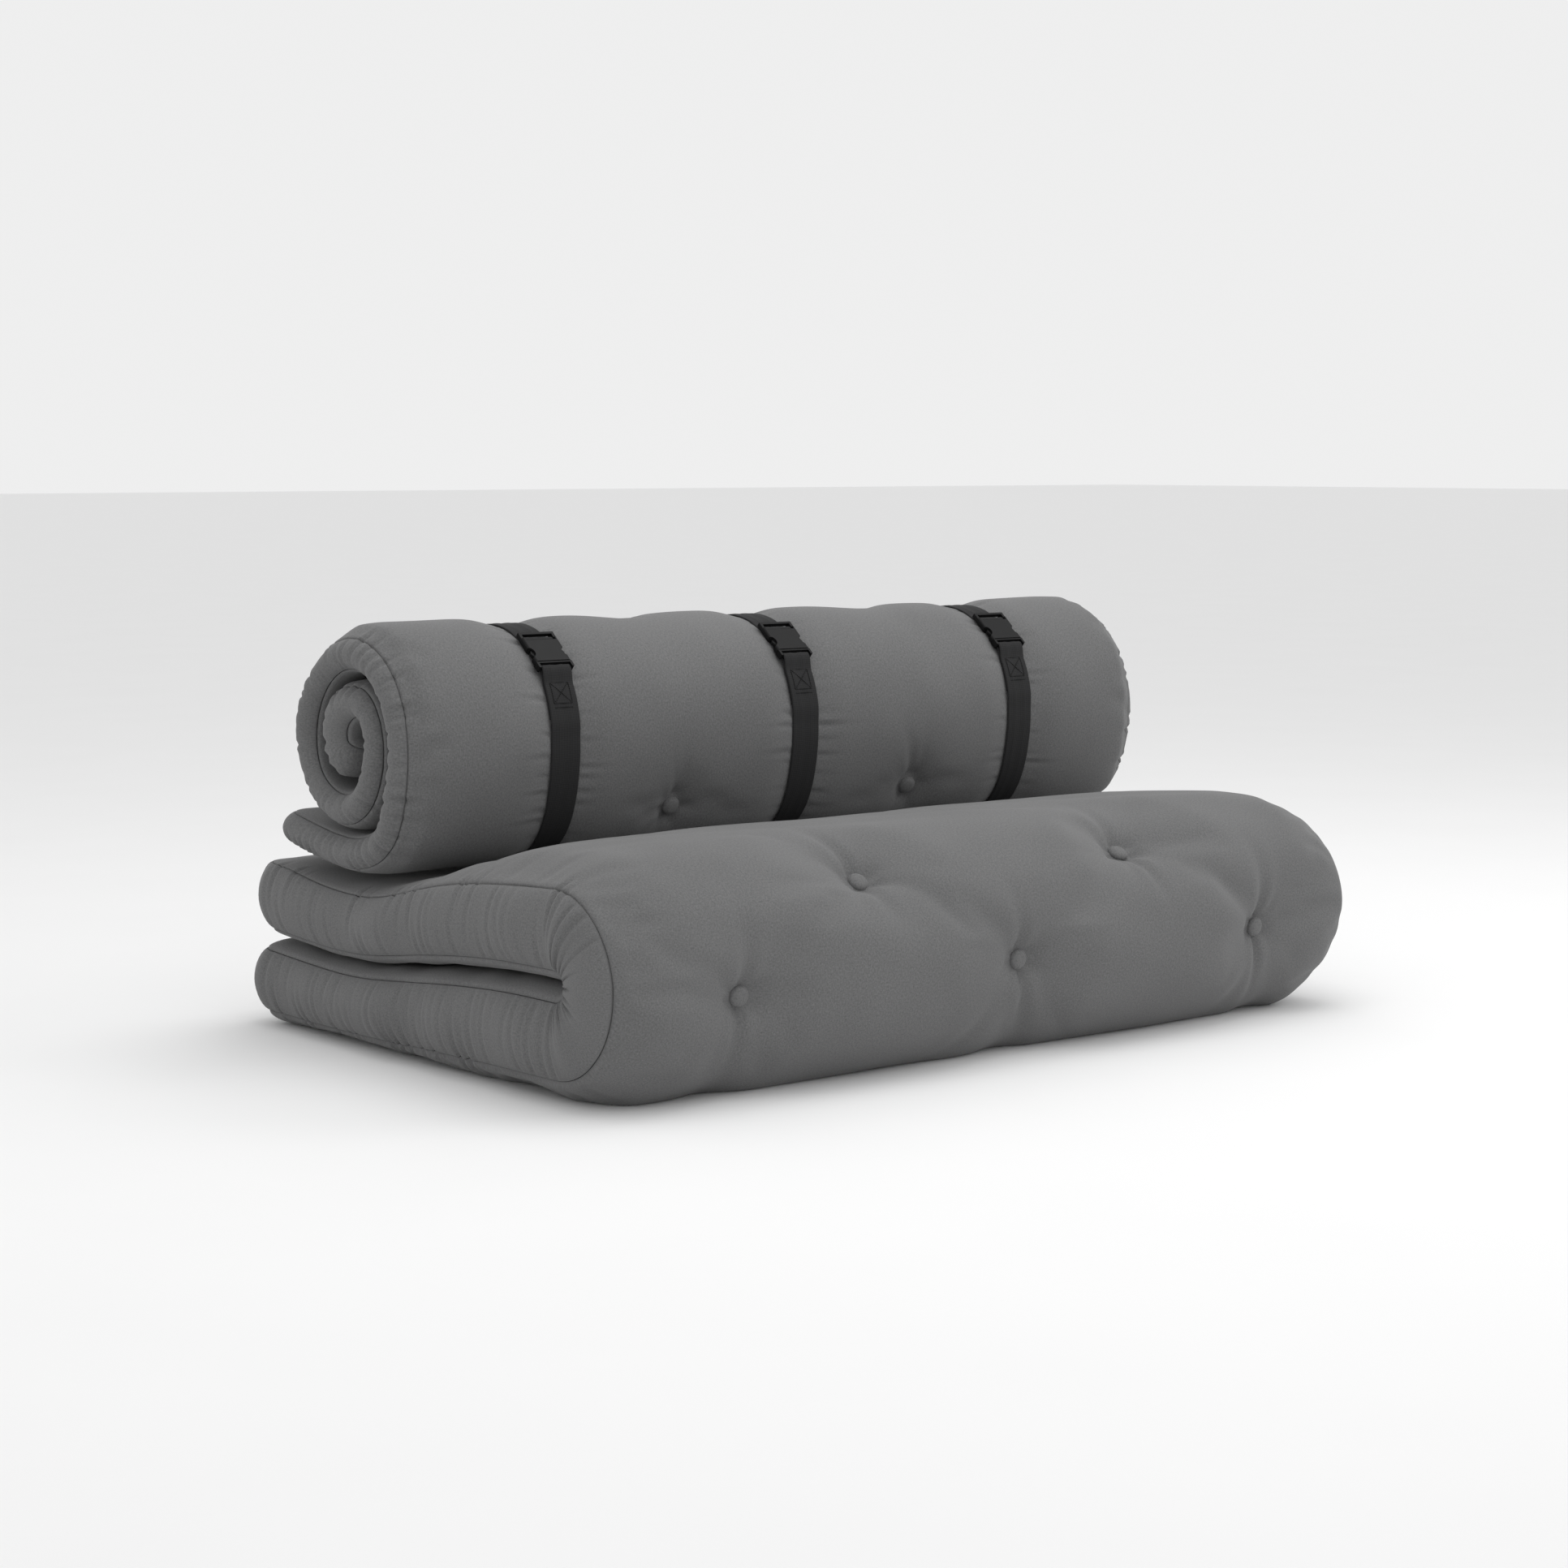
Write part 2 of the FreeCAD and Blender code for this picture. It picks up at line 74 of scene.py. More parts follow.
# Half the width of pad that a strap holds still.
STRAP_GRIP = 0.022
# Stations before and past every pad.
BEFORE_START = -1.0
PAST_END = 99.0
# Where the bands, inner faces and buttons begin on the cloth map, clear of the outer faces.
BAND_MAP = 3.0
INNER_MAP = 5.0
BUTTON_MAP = 7.0
# Middle of each strap across the width.
STRAP_PLACES = {"left": -0.437, "middle": 0.0, "right": 0.437}

Grid = np.ndarray


# ---------------------------------------------------------------- shader maths


class Term:
    """A shader socket that takes part in Python expressions."""

    def __init__(self, tree: bpy.types.NodeTree, socket: bpy.types.NodeSocket) -> None:
        """Holds the socket and the tree that it belongs to."""
        self.tree = tree
        self.socket = socket

    def _math(self, operation: str, first: object, second: object = None) -> "Term":
        """Adds a Math node.

        Args:
            operation: the node's operation.
            first: a term or a number for the first socket.
            second: a term or a number for the second socket, if it has one.

        Returns:
            The node's result.
        """
        node = self.tree.nodes.new("ShaderNodeMath")
        node.operation = operation
        for socket, value in zip(node.inputs, (first, second)):
            if isinstance(value, Term):
                self.tree.links.new(value.socket, socket)
            elif value is not None:
                socket.default_value = value
        return Term(self.tree, node.outputs[0])

    def __add__(self, other: object) -> "Term":
        """Sum."""
        return self._math("ADD", self, other)

    __radd__ = __add__

    def __mul__(self, other: object) -> "Term":
        """Product."""
        return self._math("MULTIPLY", self, other)

    __rmul__ = __mul__

    def __sub__(self, other: object) -> "Term":
        """Difference."""
        return self._math("SUBTRACT", self, other)

    def __rsub__(self, other: object) -> "Term":
        """Difference from a number."""
        return self._math("SUBTRACT", other, self)

    def sine(self) -> "Term":
        """Sine of the value in radians."""
        return self._math("SINE", self)


class Bench:
    """Makes the nodes of one material."""

    def __init__(self, name: str) -> None:
        """Starts a material with an empty principled surface."""
        self.material = bpy.data.materials.new(name)
        self.material.use_nodes = True
        self.tree = self.material.node_tree
        self.surface = self.tree.nodes["Principled BSDF"]

    def node(self, kind: str, settings: dict[str, object] | None = None,
             values: dict[str, object] | None = None, output: int | str = 0) -> Term:
        """Adds any node.

        Args:
            kind: the node's type.
            settings: attributes of the node, set before its sockets.
            values: numbers, colours or terms by socket name.
            output: which output to return.

        Returns:
            The chosen output.
        """
        node = self.tree.nodes.new(kind)
        for key, value in (settings or {}).items():
            setattr(node, key, value)
        for key, value in (values or {}).items():
            if isinstance(value, Term):
                self.tree.links.new(value.socket, node.inputs[key])
            else:
                node.inputs[key].default_value = value
        return Term(self.tree, node.outputs[output])

    def place(self, along: float, across: float) -> Term:
        """Cloth coordinates, stretched along and across the threads."""
        flat = self.node("ShaderNodeUVMap", {"uv_map": "cloth"})
        return self.node("ShaderNodeMapping", {}, {"Vector": flat, "Scale": (along, across, 1.0)})

    def noise(self, vector: Term, scale: float, detail: float = 2.0) -> Term:
        """Soft random values about 0.5."""
        return self.node("ShaderNodeTexNoise", {}, {"Vector": vector, "Scale": scale, "Detail": detail})

    def colour(self, factor: Term, dark: tuple[float, ...], light: tuple[float, ...]) -> Term:
        """Mixes two colours by a factor."""
        node = self.tree.nodes.new("ShaderNodeMix")
        node.data_type = "RGBA"
        self.tree.links.new(factor.socket, node.inputs["Factor"])
        node.inputs[6].default_value = (*dark, 1.0)
        node.inputs[7].default_value = (*light, 1.0)
        return Term(self.tree, node.outputs[2])

    def finish(self, colour: Term, roughness: Term | float, height: Term,
               bump: tuple[float, float], constants: dict[str, float]) -> bpy.types.Material:
        """Wires the surface.

        Args:
            colour: base colour.
            roughness: a term or a number.
            height: height for the bump.
            bump: the bump's strength and distance.
            constants: other numbers by socket name.

        Returns:
            The finished material.
        """
        self.tree.links.new(colour.socket, self.surface.inputs["Base Color"])
        if isinstance(roughness, Term):
            self.tree.links.new(roughness.socket, self.surface.inputs["Roughness"])
        else:
            self.surface.inputs["Roughness"].default_value = roughness
        normal = self.node("ShaderNodeBump", {},
                           {"Height": height, "Strength": bump[0], "Distance": bump[1]})
        self.tree.links.new(normal.socket, self.surface.inputs["Normal"])
        for key, value in constants.items():
            self.surface.inputs[key].default_value = value
        return self.material


# ---------------------------------------------------------------- finishes


@dataclass(frozen=True)
class WovenCloth:
    """Plain-woven matt upholstery cloth with fine slubs."""

    name: str = "woven_cloth"
    dark: tuple[float, float, float] = (0.072, 0.0723, 0.073)
    light: tuple[float, float, float] = (0.190, 0.1903, 0.191)
    roughness: float = 0.88

    def make(self) -> bpy.types.Material:
        """Threads both ways, slubs, and faint clouding over the whole piece."""
        bench = Bench(self.name)
        warp = bench.noise(bench.place(1500.0, 190.0), 1.0)
        weft = bench.noise(bench.place(190.0, 1500.0), 1.0)
        grain = bench.noise(bench.place(420.0, 420.0), 1.0, 4.0)
        cloud = bench.noise(bench.place(5.0, 5.0), 1.0, 4.0)
        threads = warp * 0.5 + weft * 0.5
        shade = threads * 1.1 + grain * 1.0 + cloud * 0.35 - 0.72
        colour = bench.colour(shade, self.dark, self.light)
        rough = self.roughness + threads * 0.1
        height = threads * 0.7 + grain * 0.6
        return bench.finish(colour, rough, height, (0.5, 0.0006),
                            {"Sheen Weight": 0.12, "Sheen Roughness": 0.5, "Specular IOR Level": 0.25})


@dataclass(frozen=True)
class StrapWebbing:
    """Black flat-woven webbing: cross ribs and lengthwise bands."""

    name: str = "strap_webbing"
    dark: tuple[float, float, float] = (0.0060, 0.0060, 0.0063)
    light: tuple[float, float, float] = (0.0340, 0.0340, 0.0348)
    rib: float = 0.0021

    def make(self) -> bpy.types.Material:
        """Ribs run across; the cloth map's U is along the webbing and V across it."""
        bench = Bench(self.name)
        flat = bench.node("ShaderNodeUVMap", {"uv_map": "cloth"})
        parts = bench.node("ShaderNodeSeparateXYZ", {}, {"Vector": flat})
        across = Term(bench.tree, parts.socket.node.outputs[1])
        ribs = (parts * (2 * math.pi / self.rib)).sine() * 0.5 + 0.5
        cords = (across * (2 * math.pi / 0.0028)).sine() * 0.5 + 0.5
        fuzz = bench.noise(bench.place(700.0, 700.0), 1.0, 3.0)
        shade = ribs * 0.3 + cords * 0.25 + fuzz * 0.5
        colour = bench.colour(shade, self.dark, self.light)
        return bench.finish(colour, 0.62 + fuzz * 0.2, ribs * 0.5 + cords * 0.35 + fuzz * 0.3,
                            (0.45, 0.0004), {"Specular IOR Level": 0.16})


@dataclass(frozen=True)
class MouldedPlastic:
    """Black acetal with a fine spark-eroded grain."""

    name: str = "moulded_plastic"
    dark: tuple[float, float, float] = (0.0025, 0.0025, 0.0027)
    light: tuple[float, float, float] = (0.0055, 0.0055, 0.0058)
    roughness: float = 0.42

    def make(self) -> bpy.types.Material:
        """Grain in object space, because moulded parts have no cloth map."""
        bench = Bench(self.name)
        place = bench.node("ShaderNodeTexCoord", output="Object")
        grain = bench.noise(place, 1400.0, 3.0)
        wear = bench.noise(place, 60.0, 3.0)
        colour = bench.colour(grain * 0.5 + wear * 0.5, self.dark, self.light)
        return bench.finish(colour, self.roughness + grain * 0.12 + wear * 0.08, grain, (0.2, 0.0002),
                            {"Specular IOR Level": 0.20})


@dataclass(frozen=True)
class SewingThread:
    """Black bonded thread, twisted."""

    name: str = "sewing_thread"
    dark: tuple[float, float, float] = (0.0012, 0.0012, 0.0012)
    light: tuple[float, float, float] = (0.005, 0.005, 0.005)

    def make(self) -> bpy.types.Material:
        """Slight twist and sheen."""
        bench = Bench(self.name)
        place = bench.node("ShaderNodeTexCoord", output="Object")
        twist = bench.noise(place, 2500.0, 1.0)
        return bench.finish(bench.colour(twist, self.dark, self.light), 0.6, twist, (0.3, 0.0002),
                            {"Specular IOR Level": 0.35})


@dataclass(frozen=True)
class StudioFloor:
    """Plain pale floor."""

    name: str = "studio_floor"
    shade: float = 0.86

    def make(self) -> bpy.types.Material:
        """Nearly even, with a trace of mottling."""
        bench = Bench(self.name)
        place = bench.node("ShaderNodeTexCoord", output="Object")
        mottle = bench.noise(place, 3.0)
        low = (self.shade - 0.01,) * 3
        high = (self.shade + 0.01,) * 3
        return bench.finish(bench.colour(mottle, low, high), 0.9, mottle, (0.01, 0.001), {})


# ---------------------------------------------------------------- lines and small tools


def smooth(share: Grid | float) -> Grid:
    """Smooth step from 0 to 1."""
    share = np.clip(share, 0.0, 1.0)
    return share * share * (3 - 2 * share)


def shoulder(distance: Grid, reach: Grid | float) -> Grid:
    """Quarter-round rise from 0 at a seam to 1 at the reach."""
    share = np.clip(distance / reach, 0.0, 1.0)
    return np.sqrt(np.clip(1 - (1 - share) ** 2, 0.0, 1.0))


def slope(distance: Grid, reach: float) -> Grid:
    """Long easy rise from 0 at a seam to 1 at the reach."""
    return np.sin(np.clip(distance / reach, 0.0, 1.0) * math.pi / 2)


def undulation(rng: np.random.Generator, shortest: float,
               longest: float) -> Callable[[Grid, Grid], Grid]:
    """Gentle random hills and hollows, about -1 to 1, as a function of two places."""
    turn = 2 * math.pi
    waves = [(turn / rng.uniform(shortest, longest), rng.uniform(0, math.pi), rng.uniform(0, turn))
             for _ in range(9)]

    def height(first: Grid, second: Grid) -> Grid:
        """Sum of plane waves in all headings."""
        total = np.zeros(np.broadcast(first, second).shape)
        for pace, heading, phase in waves:
            total += np.sin(pace * (first * math.cos(heading) + second * math.sin(heading)) + phase)
        return total / 4.0

    return height


class SmoothLine:
    """A curve with even bending through given depth and height pairs."""

    def __init__(self, places: list[tuple[float, float]], samples: int = 3000) -> None:
        """Fits a natural cubic spline and measures it.

        Args:
            places: the points, in order.
            samples: how finely the length is measured.
        """
        spots = np.array(places, float)
        knots = np.concatenate([[0.0], np.cumsum(np.linalg.norm(np.diff(spots, axis=0), axis=1))])
        count = len(spots)
        step = np.diff(knots)
        matrix = np.eye(count)
        right = np.zeros((count, 2))
        for i in range(1, count - 1):
            matrix[i, i - 1:i + 2] = step[i - 1], 2 * (step[i - 1] + step[i]), step[i]
            right[i] = 6 * ((spots[i + 1] - spots[i]) / step[i] - (spots[i] - spots[i - 1]) / step[i - 1])
        bend = np.linalg.solve(matrix, right)
        t = np.linspace(0, knots[-1], samples)
        k = np.clip(np.searchsorted(knots, t, side="right") - 1, 0, count - 2)
        h = step[k][:, None]
        b = (t - knots[k])[:, None] / h
        a = 1 - b
        curve = (a**3 - a) * bend[k] + (b**3 - b) * bend[k + 1]
        self.spots = a * spots[k] + b * spots[k + 1] + curve * h**2 / 6
        steps = np.linalg.norm(np.diff(self.spots, axis=0), axis=1)
        self.lengths = np.concatenate([[0.0], np.cumsum(steps)])
        self.length = float(self.lengths[-1])
        along = np.gradient(self.spots, axis=0)
        self.along = along / np.linalg.norm(along, axis=1)[:, None]

    def place(self, s: Grid) -> tuple[Grid, Grid]:
        """Points and left-hand normals at lengths along the line, straight on past its ends."""
        inside = np.clip(s, 0.0, self.length)
        spot = np.stack([np.interp(inside, self.lengths, self.spots[:, i]) for i in (0, 1)], -1)
        along = np.stack([np.interp(inside, self.lengths, self.along[:, i]) for i in (0, 1)], -1)
        along /= np.linalg.norm(along, axis=-1, keepdims=True)
        spot = spot + along * (s - inside)[..., None]
        return spot, np.stack([-along[..., 1], along[..., 0]], -1)


def convex_outline(spots: Grid) -> Grid:
    """The convex outline round a set of points, turning left."""
    ordered = sorted(map(tuple, spots))

    def chain(items: list[tuple[float, float]]) -> list[tuple[float, float]]:
        """One side of the outline."""
        out: list[tuple[float, float]] = []
        for p in items:
            while len(out) > 1:
                (ay, az), (by, bz) = out[-2], out[-1]
                if (by - ay) * (p[1] - az) - (bz - az) * (p[0] - ay) > 0:
                    break
                out.pop()
            out.append(p)
        return out[:-1]

    return np.array(chain(ordered) + chain(ordered[::-1]))


def mesh_object(name: str, points: Grid, faces: Grid | list, material: bpy.types.Material,
                uv: Grid | None = None, normals: Grid | None = None) -> bpy.types.Object:
    """Makes one smooth-shaded mesh piece.

    Args:
        name: the piece's name.
        points: vertex places.
        faces: vertex numbers of each face.
        material: its finish.
        uv: cloth map, one pair per vertex.
        normals: shading normals, one per vertex.

    Returns:
        The object, linked to the scene.
    """
    mesh = bpy.data.meshes.new(name)
    mesh.from_pydata(np.asarray(points).tolist(), [], faces if isinstance(faces, list) else faces.tolist())
    mesh.polygons.foreach_set("use_smooth", [True] * len(mesh.polygons))
    if uv is not None:
        layer = mesh.uv_layers.new(name="cloth")
        corner = np.zeros(len(mesh.loops), np.int32)
        mesh.loops.foreach_get("vertex_index", corner)
        layer.data.foreach_set("uv", np.asarray(uv, np.float32)[corner].ravel())
    mesh.update()
    if normals is not None:
        mesh.normals_split_custom_set_from_vertices(np.asarray(normals).tolist())
    mesh.materials.append(material)
    thing = bpy.data.objects.new(name, mesh)
    bpy.context.scene.collection.objects.link(thing)
    return thing


def facing_out(points: Grid, faces: Grid) -> Grid:
    """The same quads, turned over if together they enclose a negative volume."""
    a, b, c, d = (points[faces[:, i]] - points.mean(0) for i in range(4))
    volume = np.einsum("ij,ij->i", a, np.cross(b, c)) + np.einsum("ij,ij->i", a, np.cross(c, d))
    return faces if volume.sum() > 0 else faces[:, ::-1]


def vertex_normals(points: Grid, faces: Grid) -> Grid:
    """Area-weighted normals of a quad mesh."""
    a, b, c, d = (points[faces[:, i]] for i in range(4))
    face = np.repeat(np.cross(c - a, d - b), 4, axis=0)
    total = np.stack([np.bincount(faces.ravel(), face[:, i], len(points)) for i in range(3)], -1)
    return total / np.maximum(np.linalg.norm(total, axis=1, keepdims=True), 1e-12)


# ---------------------------------------------------------------- a boxed, tufted pad, laid flat


@dataclass(frozen=True)
class Tuft:
    """A button's place on the flat pad, and how deep its twine pulls it."""

    along: float
    across: float
    depth: float


@dataclass(frozen=True)
class Crown:
    """How a face rises from its seam: a short round shoulder, and a share of long easy slope."""

    short: Callable[[Grid], Grid]
    long: float
    softness: Callable[[Grid], Grid]

    def rise(self, along: Grid, from_side: Grid, from_end: Grid) -> Grid:
        """Share of the full height, 0 at the seams and 1 in the middle."""
        soft = self.softness(along)
        short = self.short(along)
        total = 1.0
        for distance in (from_side, from_end):
            total = total * ((1 - soft) * shoulder(distance, short) + soft * slope(distance, self.long))
        return total


@dataclass
class Layout:
    """Where the vertices of a face lie on the flat pad."""

    along: Grid
    across: Grid
    from_side: Grid
    from_end: Grid


def nowhere(flat: Layout) -> Grid:
    """Nothing anywhere on a face."""
    return np.zeros(flat.along.shape)


def even(value: float) -> Callable[[Grid], Grid]:
    """A measure that is the same all along."""
    return lambda along: np.full_like(along, value)


@dataclass
class FlatPad:
    """Two panels and a band all round, sewn together, stuffed and tufted.

    The pad is worked out lying flat: `along` its length, `across` its width, and a share of
    its thickness from -1 on the inner face to 1 on the outer face.
    """

    length: float
    half_width: float
    thickness: float
    corner: float
    bulge: float
    outer_seam: Callable[[Grid], Grid]
    inner_seam: float
    crowns: dict[int, Crown]
    tufts: dict[int, list[Tuft]]
    rows: int = 15
    seam_groove: float = 0.0008
    button_room: float = 0.0175
    tuft_spread: float = 0.055
    straps: tuple[float, ...] = ()

    def layout(self, stations: Grid, columns: Grid) -> Layout:
        """Flat places for given stations along and columns, as shares, across."""
        along, share = np.meshgrid(stations, columns, indexing="ij")
        from_end = np.minimum(along, self.length - along)
        short = np.clip(self.corner - from_end, 0.0, self.corner)
        edge = self.half_width - self.corner + np.sqrt(self.corner**2 - short**2)
        across = share * edge
        return Layout(along, across, edge - np.abs(across), from_end)

    def nearest_tuft(self, side: int, along: Grid, across: Grid) -> Grid:
        """Distance to the nearest button of a face."""
        nearest = np.full(along.shape, 9.0)
        for tuft in self.tufts[side]:
            nearest = np.minimum(nearest, np.hypot(along - tuft.along, across - tuft.across))
        return nearest

    def dimples(self, side: int, along: Grid, across: Grid) -> Grid:
        """How deep the buttons pull one face in, in metres."""
        total = np.zeros_like(along)
        for tuft in self.tufts[side]:
            away = np.hypot(along - tuft.along, across - tuft.across)
            rim = np.maximum(away - self.button_room, 0.0)
            steep = np.exp(-((rim / 0.016) ** 1.4))
            easy = np.exp(-rim / self.tuft_spread)
            total += tuft.depth * (0.30 * steep + 0.70 * easy)
        return total

    def share(self, side: int, flat: Layout) -> Grid:
        """Signed share of the thickness at which a face lies."""
        seam = self.outer_seam(flat.along) if side > 0 else np.full_like(flat.along, self.inner_seam)
        return side * (seam + (1 - seam) * self.crowns[side].rise(flat.along, flat.from_side, flat.from_end))

    def inflate(self, spacing: float, cap: float,
                name: str) -> dict[int, Callable[[Grid, Grid], Grid]]:
        """Swells the stuffed cover between its tufts and seams with the cloth solver.

        Args:
            spacing: the size of the mesh's squares.
            cap: the most that a point may move.
            name: a name for the working mesh.

        Returns:
            For each face, a function from stations and columns to the movement there,
            along, across and outwards, in metres.
        """
        stations = np.linspace(0, self.length, round(self.length / spacing) + 1)
        columns = np.linspace(-1, 1, round(2 * self.half_width / spacing) + 1)
        flat = self.layout(stations, columns)
        half = self.thickness / 2
        sheets = []
        held = []
        for side in (1, -1):
            height = self.share(side, flat) * half
            height -= side * self.dimples(side, flat.along, flat.across)
            sheets.append(np.stack([flat.along, flat.across, height], -1).reshape(-1, 3))
            pinned = self.nearest_tuft(side, flat.along, flat.across) < spacing * 0.9
            held.append((pinned | self.tied(flat)).ravel())
        order = ring(len(stations), len(columns))
        count = len(stations) * len(columns)
        held[0][order] = True
        held[1][order] = True
        points = np.concatenate(sheets)
        faces = panel_faces(len(stations), len(columns), 0, True)
        faces = np.concatenate([faces, panel_faces(len(stations), len(columns), count, False)])
        after = np.roll(order, -1)
        faces = np.concatenate([faces, np.stack([order, order + count, after + count, after], -1)])
        moved = self.solve(points, faces, np.concatenate(held), name)
        shift = moved - points
        size = np.linalg.norm(shift, axis=1, keepdims=True)
        shift *= np.minimum(1.0, cap / np.maximum(size, 1e-9))
        fields = {}
        for number, side in enumerate((1, -1)):
            block = shift[number * count:(number + 1) * count].reshape(len(stations), len(columns), 3)
            block = block * np.array([1.0, 1.0, side])
            fields[side] = resampler(stations, columns, block)
        return fields

    def tied(self, flat: Layout) -> Grid:
        """Where straps hold both faces still."""
        still = np.zeros(flat.along.shape, bool)
        for x in self.straps:
            still |= np.abs(flat.across - x) < STRAP_GRIP
        return still

    @staticmethod
    def solve(points: Grid, faces: Grid, held: Grid, name: str) -> Grid:
        """Runs the cloth solver on a closed mesh and returns where its points end up."""
        mesh = bpy.data.meshes.new(name)
        mesh.from_pydata(points.tolist(), [], faces.tolist())
        thing = bpy.data.objects.new(name, mesh)
        bpy.context.scene.collection.objects.link(thing)
        group = thing.vertex_groups.new(name="held")
        group.add(np.flatnonzero(held).tolist(), 1.0, "REPLACE")
        cloth = thing.modifiers.new("stuffing", "CLOTH")
        cloth.settings.vertex_group_mass = "held"
        cloth.settings.quality = 4
        cloth.settings.mass = 0.3
        cloth.settings.tension_stiffness = 14.0
        cloth.settings.compression_stiffness = 6.0
        cloth.settings.shear_stiffness = 4.0
        cloth.settings.bending_stiffness = 0.4
        cloth.settings.shrink_min = -0.025
        cloth.settings.use_pressure = True
        cloth.settings.uniform_pressure_force = STUFFING_PRESSURE
        cloth.settings.effector_weights.gravity = 0.0
        cloth.collision_settings.use_collision = False
        scene = bpy.context.scene
        for number in range(1, SOLVER_FRAMES + 1):
            scene.frame_set(number)
        result = thing.evaluated_get(bpy.context.evaluated_depsgraph_get())
        moved = np.zeros(len(points) * 3)
        result.data.vertices.foreach_get("co", moved)
        bpy.data.objects.remove(thing)
        scene.frame_set(1)
        return moved.reshape(-1, 3)


def ring(rows: int, columns: int) -> Grid:
    """Vertex numbers of a grid's edge, once round."""
    number = np.arange(rows * columns).reshape(rows, columns)
    return np.concatenate([number[0], number[1:, -1], number[-1, -2::-1], number[-2:0:-1, 0]])


def panel_faces(rows: int, columns: int, first: int, up: bool) -> Grid:
    """Quads of a grid of vertices."""
    number = np.arange(rows * columns).reshape(rows, columns) + first
    quads = [number[:-1, :-1], number[1:, :-1], number[1:, 1:], number[:-1, 1:]]
    return np.stack([q.ravel() for q in (quads if up else quads[::-1])], -1)


def resampler(stations: Grid, columns: Grid, block: Grid) -> Callable[[Grid, Grid], Grid]:
    """A function that reads a grid of vectors at other stations and columns."""

    def read(new_stations: Grid, new_columns: Grid) -> Grid:
        """Interpolates along one way, then the other."""
        rows = np.stack(
            [[np.interp(new_columns, columns, row[:, i]) for row in block] for i in range(3)], -1)
        out = np.empty((len(new_stations), len(new_columns), 3))
        for i in range(3):
            for j in range(len(new_columns)):
                out[:, j, i] = np.interp(new_stations, stations, rows[:, j, i])
        for _ in range(3):
            out[1:-1] = (out[:-2] + 2 * out[1:-1] + out[2:]) / 4
            out[:, 1:-1] = (out[:, :-2] + 2 * out[:, 1:-1] + out[:, 2:]) / 4
        return out

    return read


@dataclass
class Creases:
    """Soft folds that run out from the buttons across a face."""

    folds: list[tuple[float, float, float, float, float, float]] = field(default_factory=list)

    def add(self, along: float, across: float, heading: float, length: float, width: float,
            depth: float) -> None:
        """One fold from a place, in a heading in degrees from the pad's length."""
        self.folds.append((along, across, math.radians(heading), length, width, depth))

    def depth(self, along: Grid, across: Grid) -> Grid:
        """How far the folds dent the face, in metres; ridges beside them are negative."""
        total = np.zeros_like(along)
        for a, x, heading, length, width, depth in self.folds:
            run = (along - a) * math.cos(heading) + (across - x) * math.sin(heading)
            off = (across - x) * math.cos(heading) - (along - a) * math.sin(heading)
            off = off + 0.10 * run**2 / length
            wide = width * (0.7 + 0.9 * np.clip(run / length, 0, 1))
            fade = smooth((run - 0.011) / 0.014) * np.exp(-((np.maximum(run, 0) / length) ** 2) * 2.2)
            valley = np.exp(-((off / wide) ** 2))
            ridge = np.exp(-(((off - 1.7 * wide) / wide) ** 2))
            low_ridge = np.exp(-(((off + 1.9 * wide) / (1.2 * wide)) ** 2))
            total += depth * fade * (valley - 0.42 * ridge - 0.30 * low_ridge)
        return total


@dataclass
class Pucker:
    """One fold across a band: its place, size and lean."""

    at: float
    width: float
    depth: float
    lean: float
    reach: float
    kind: int


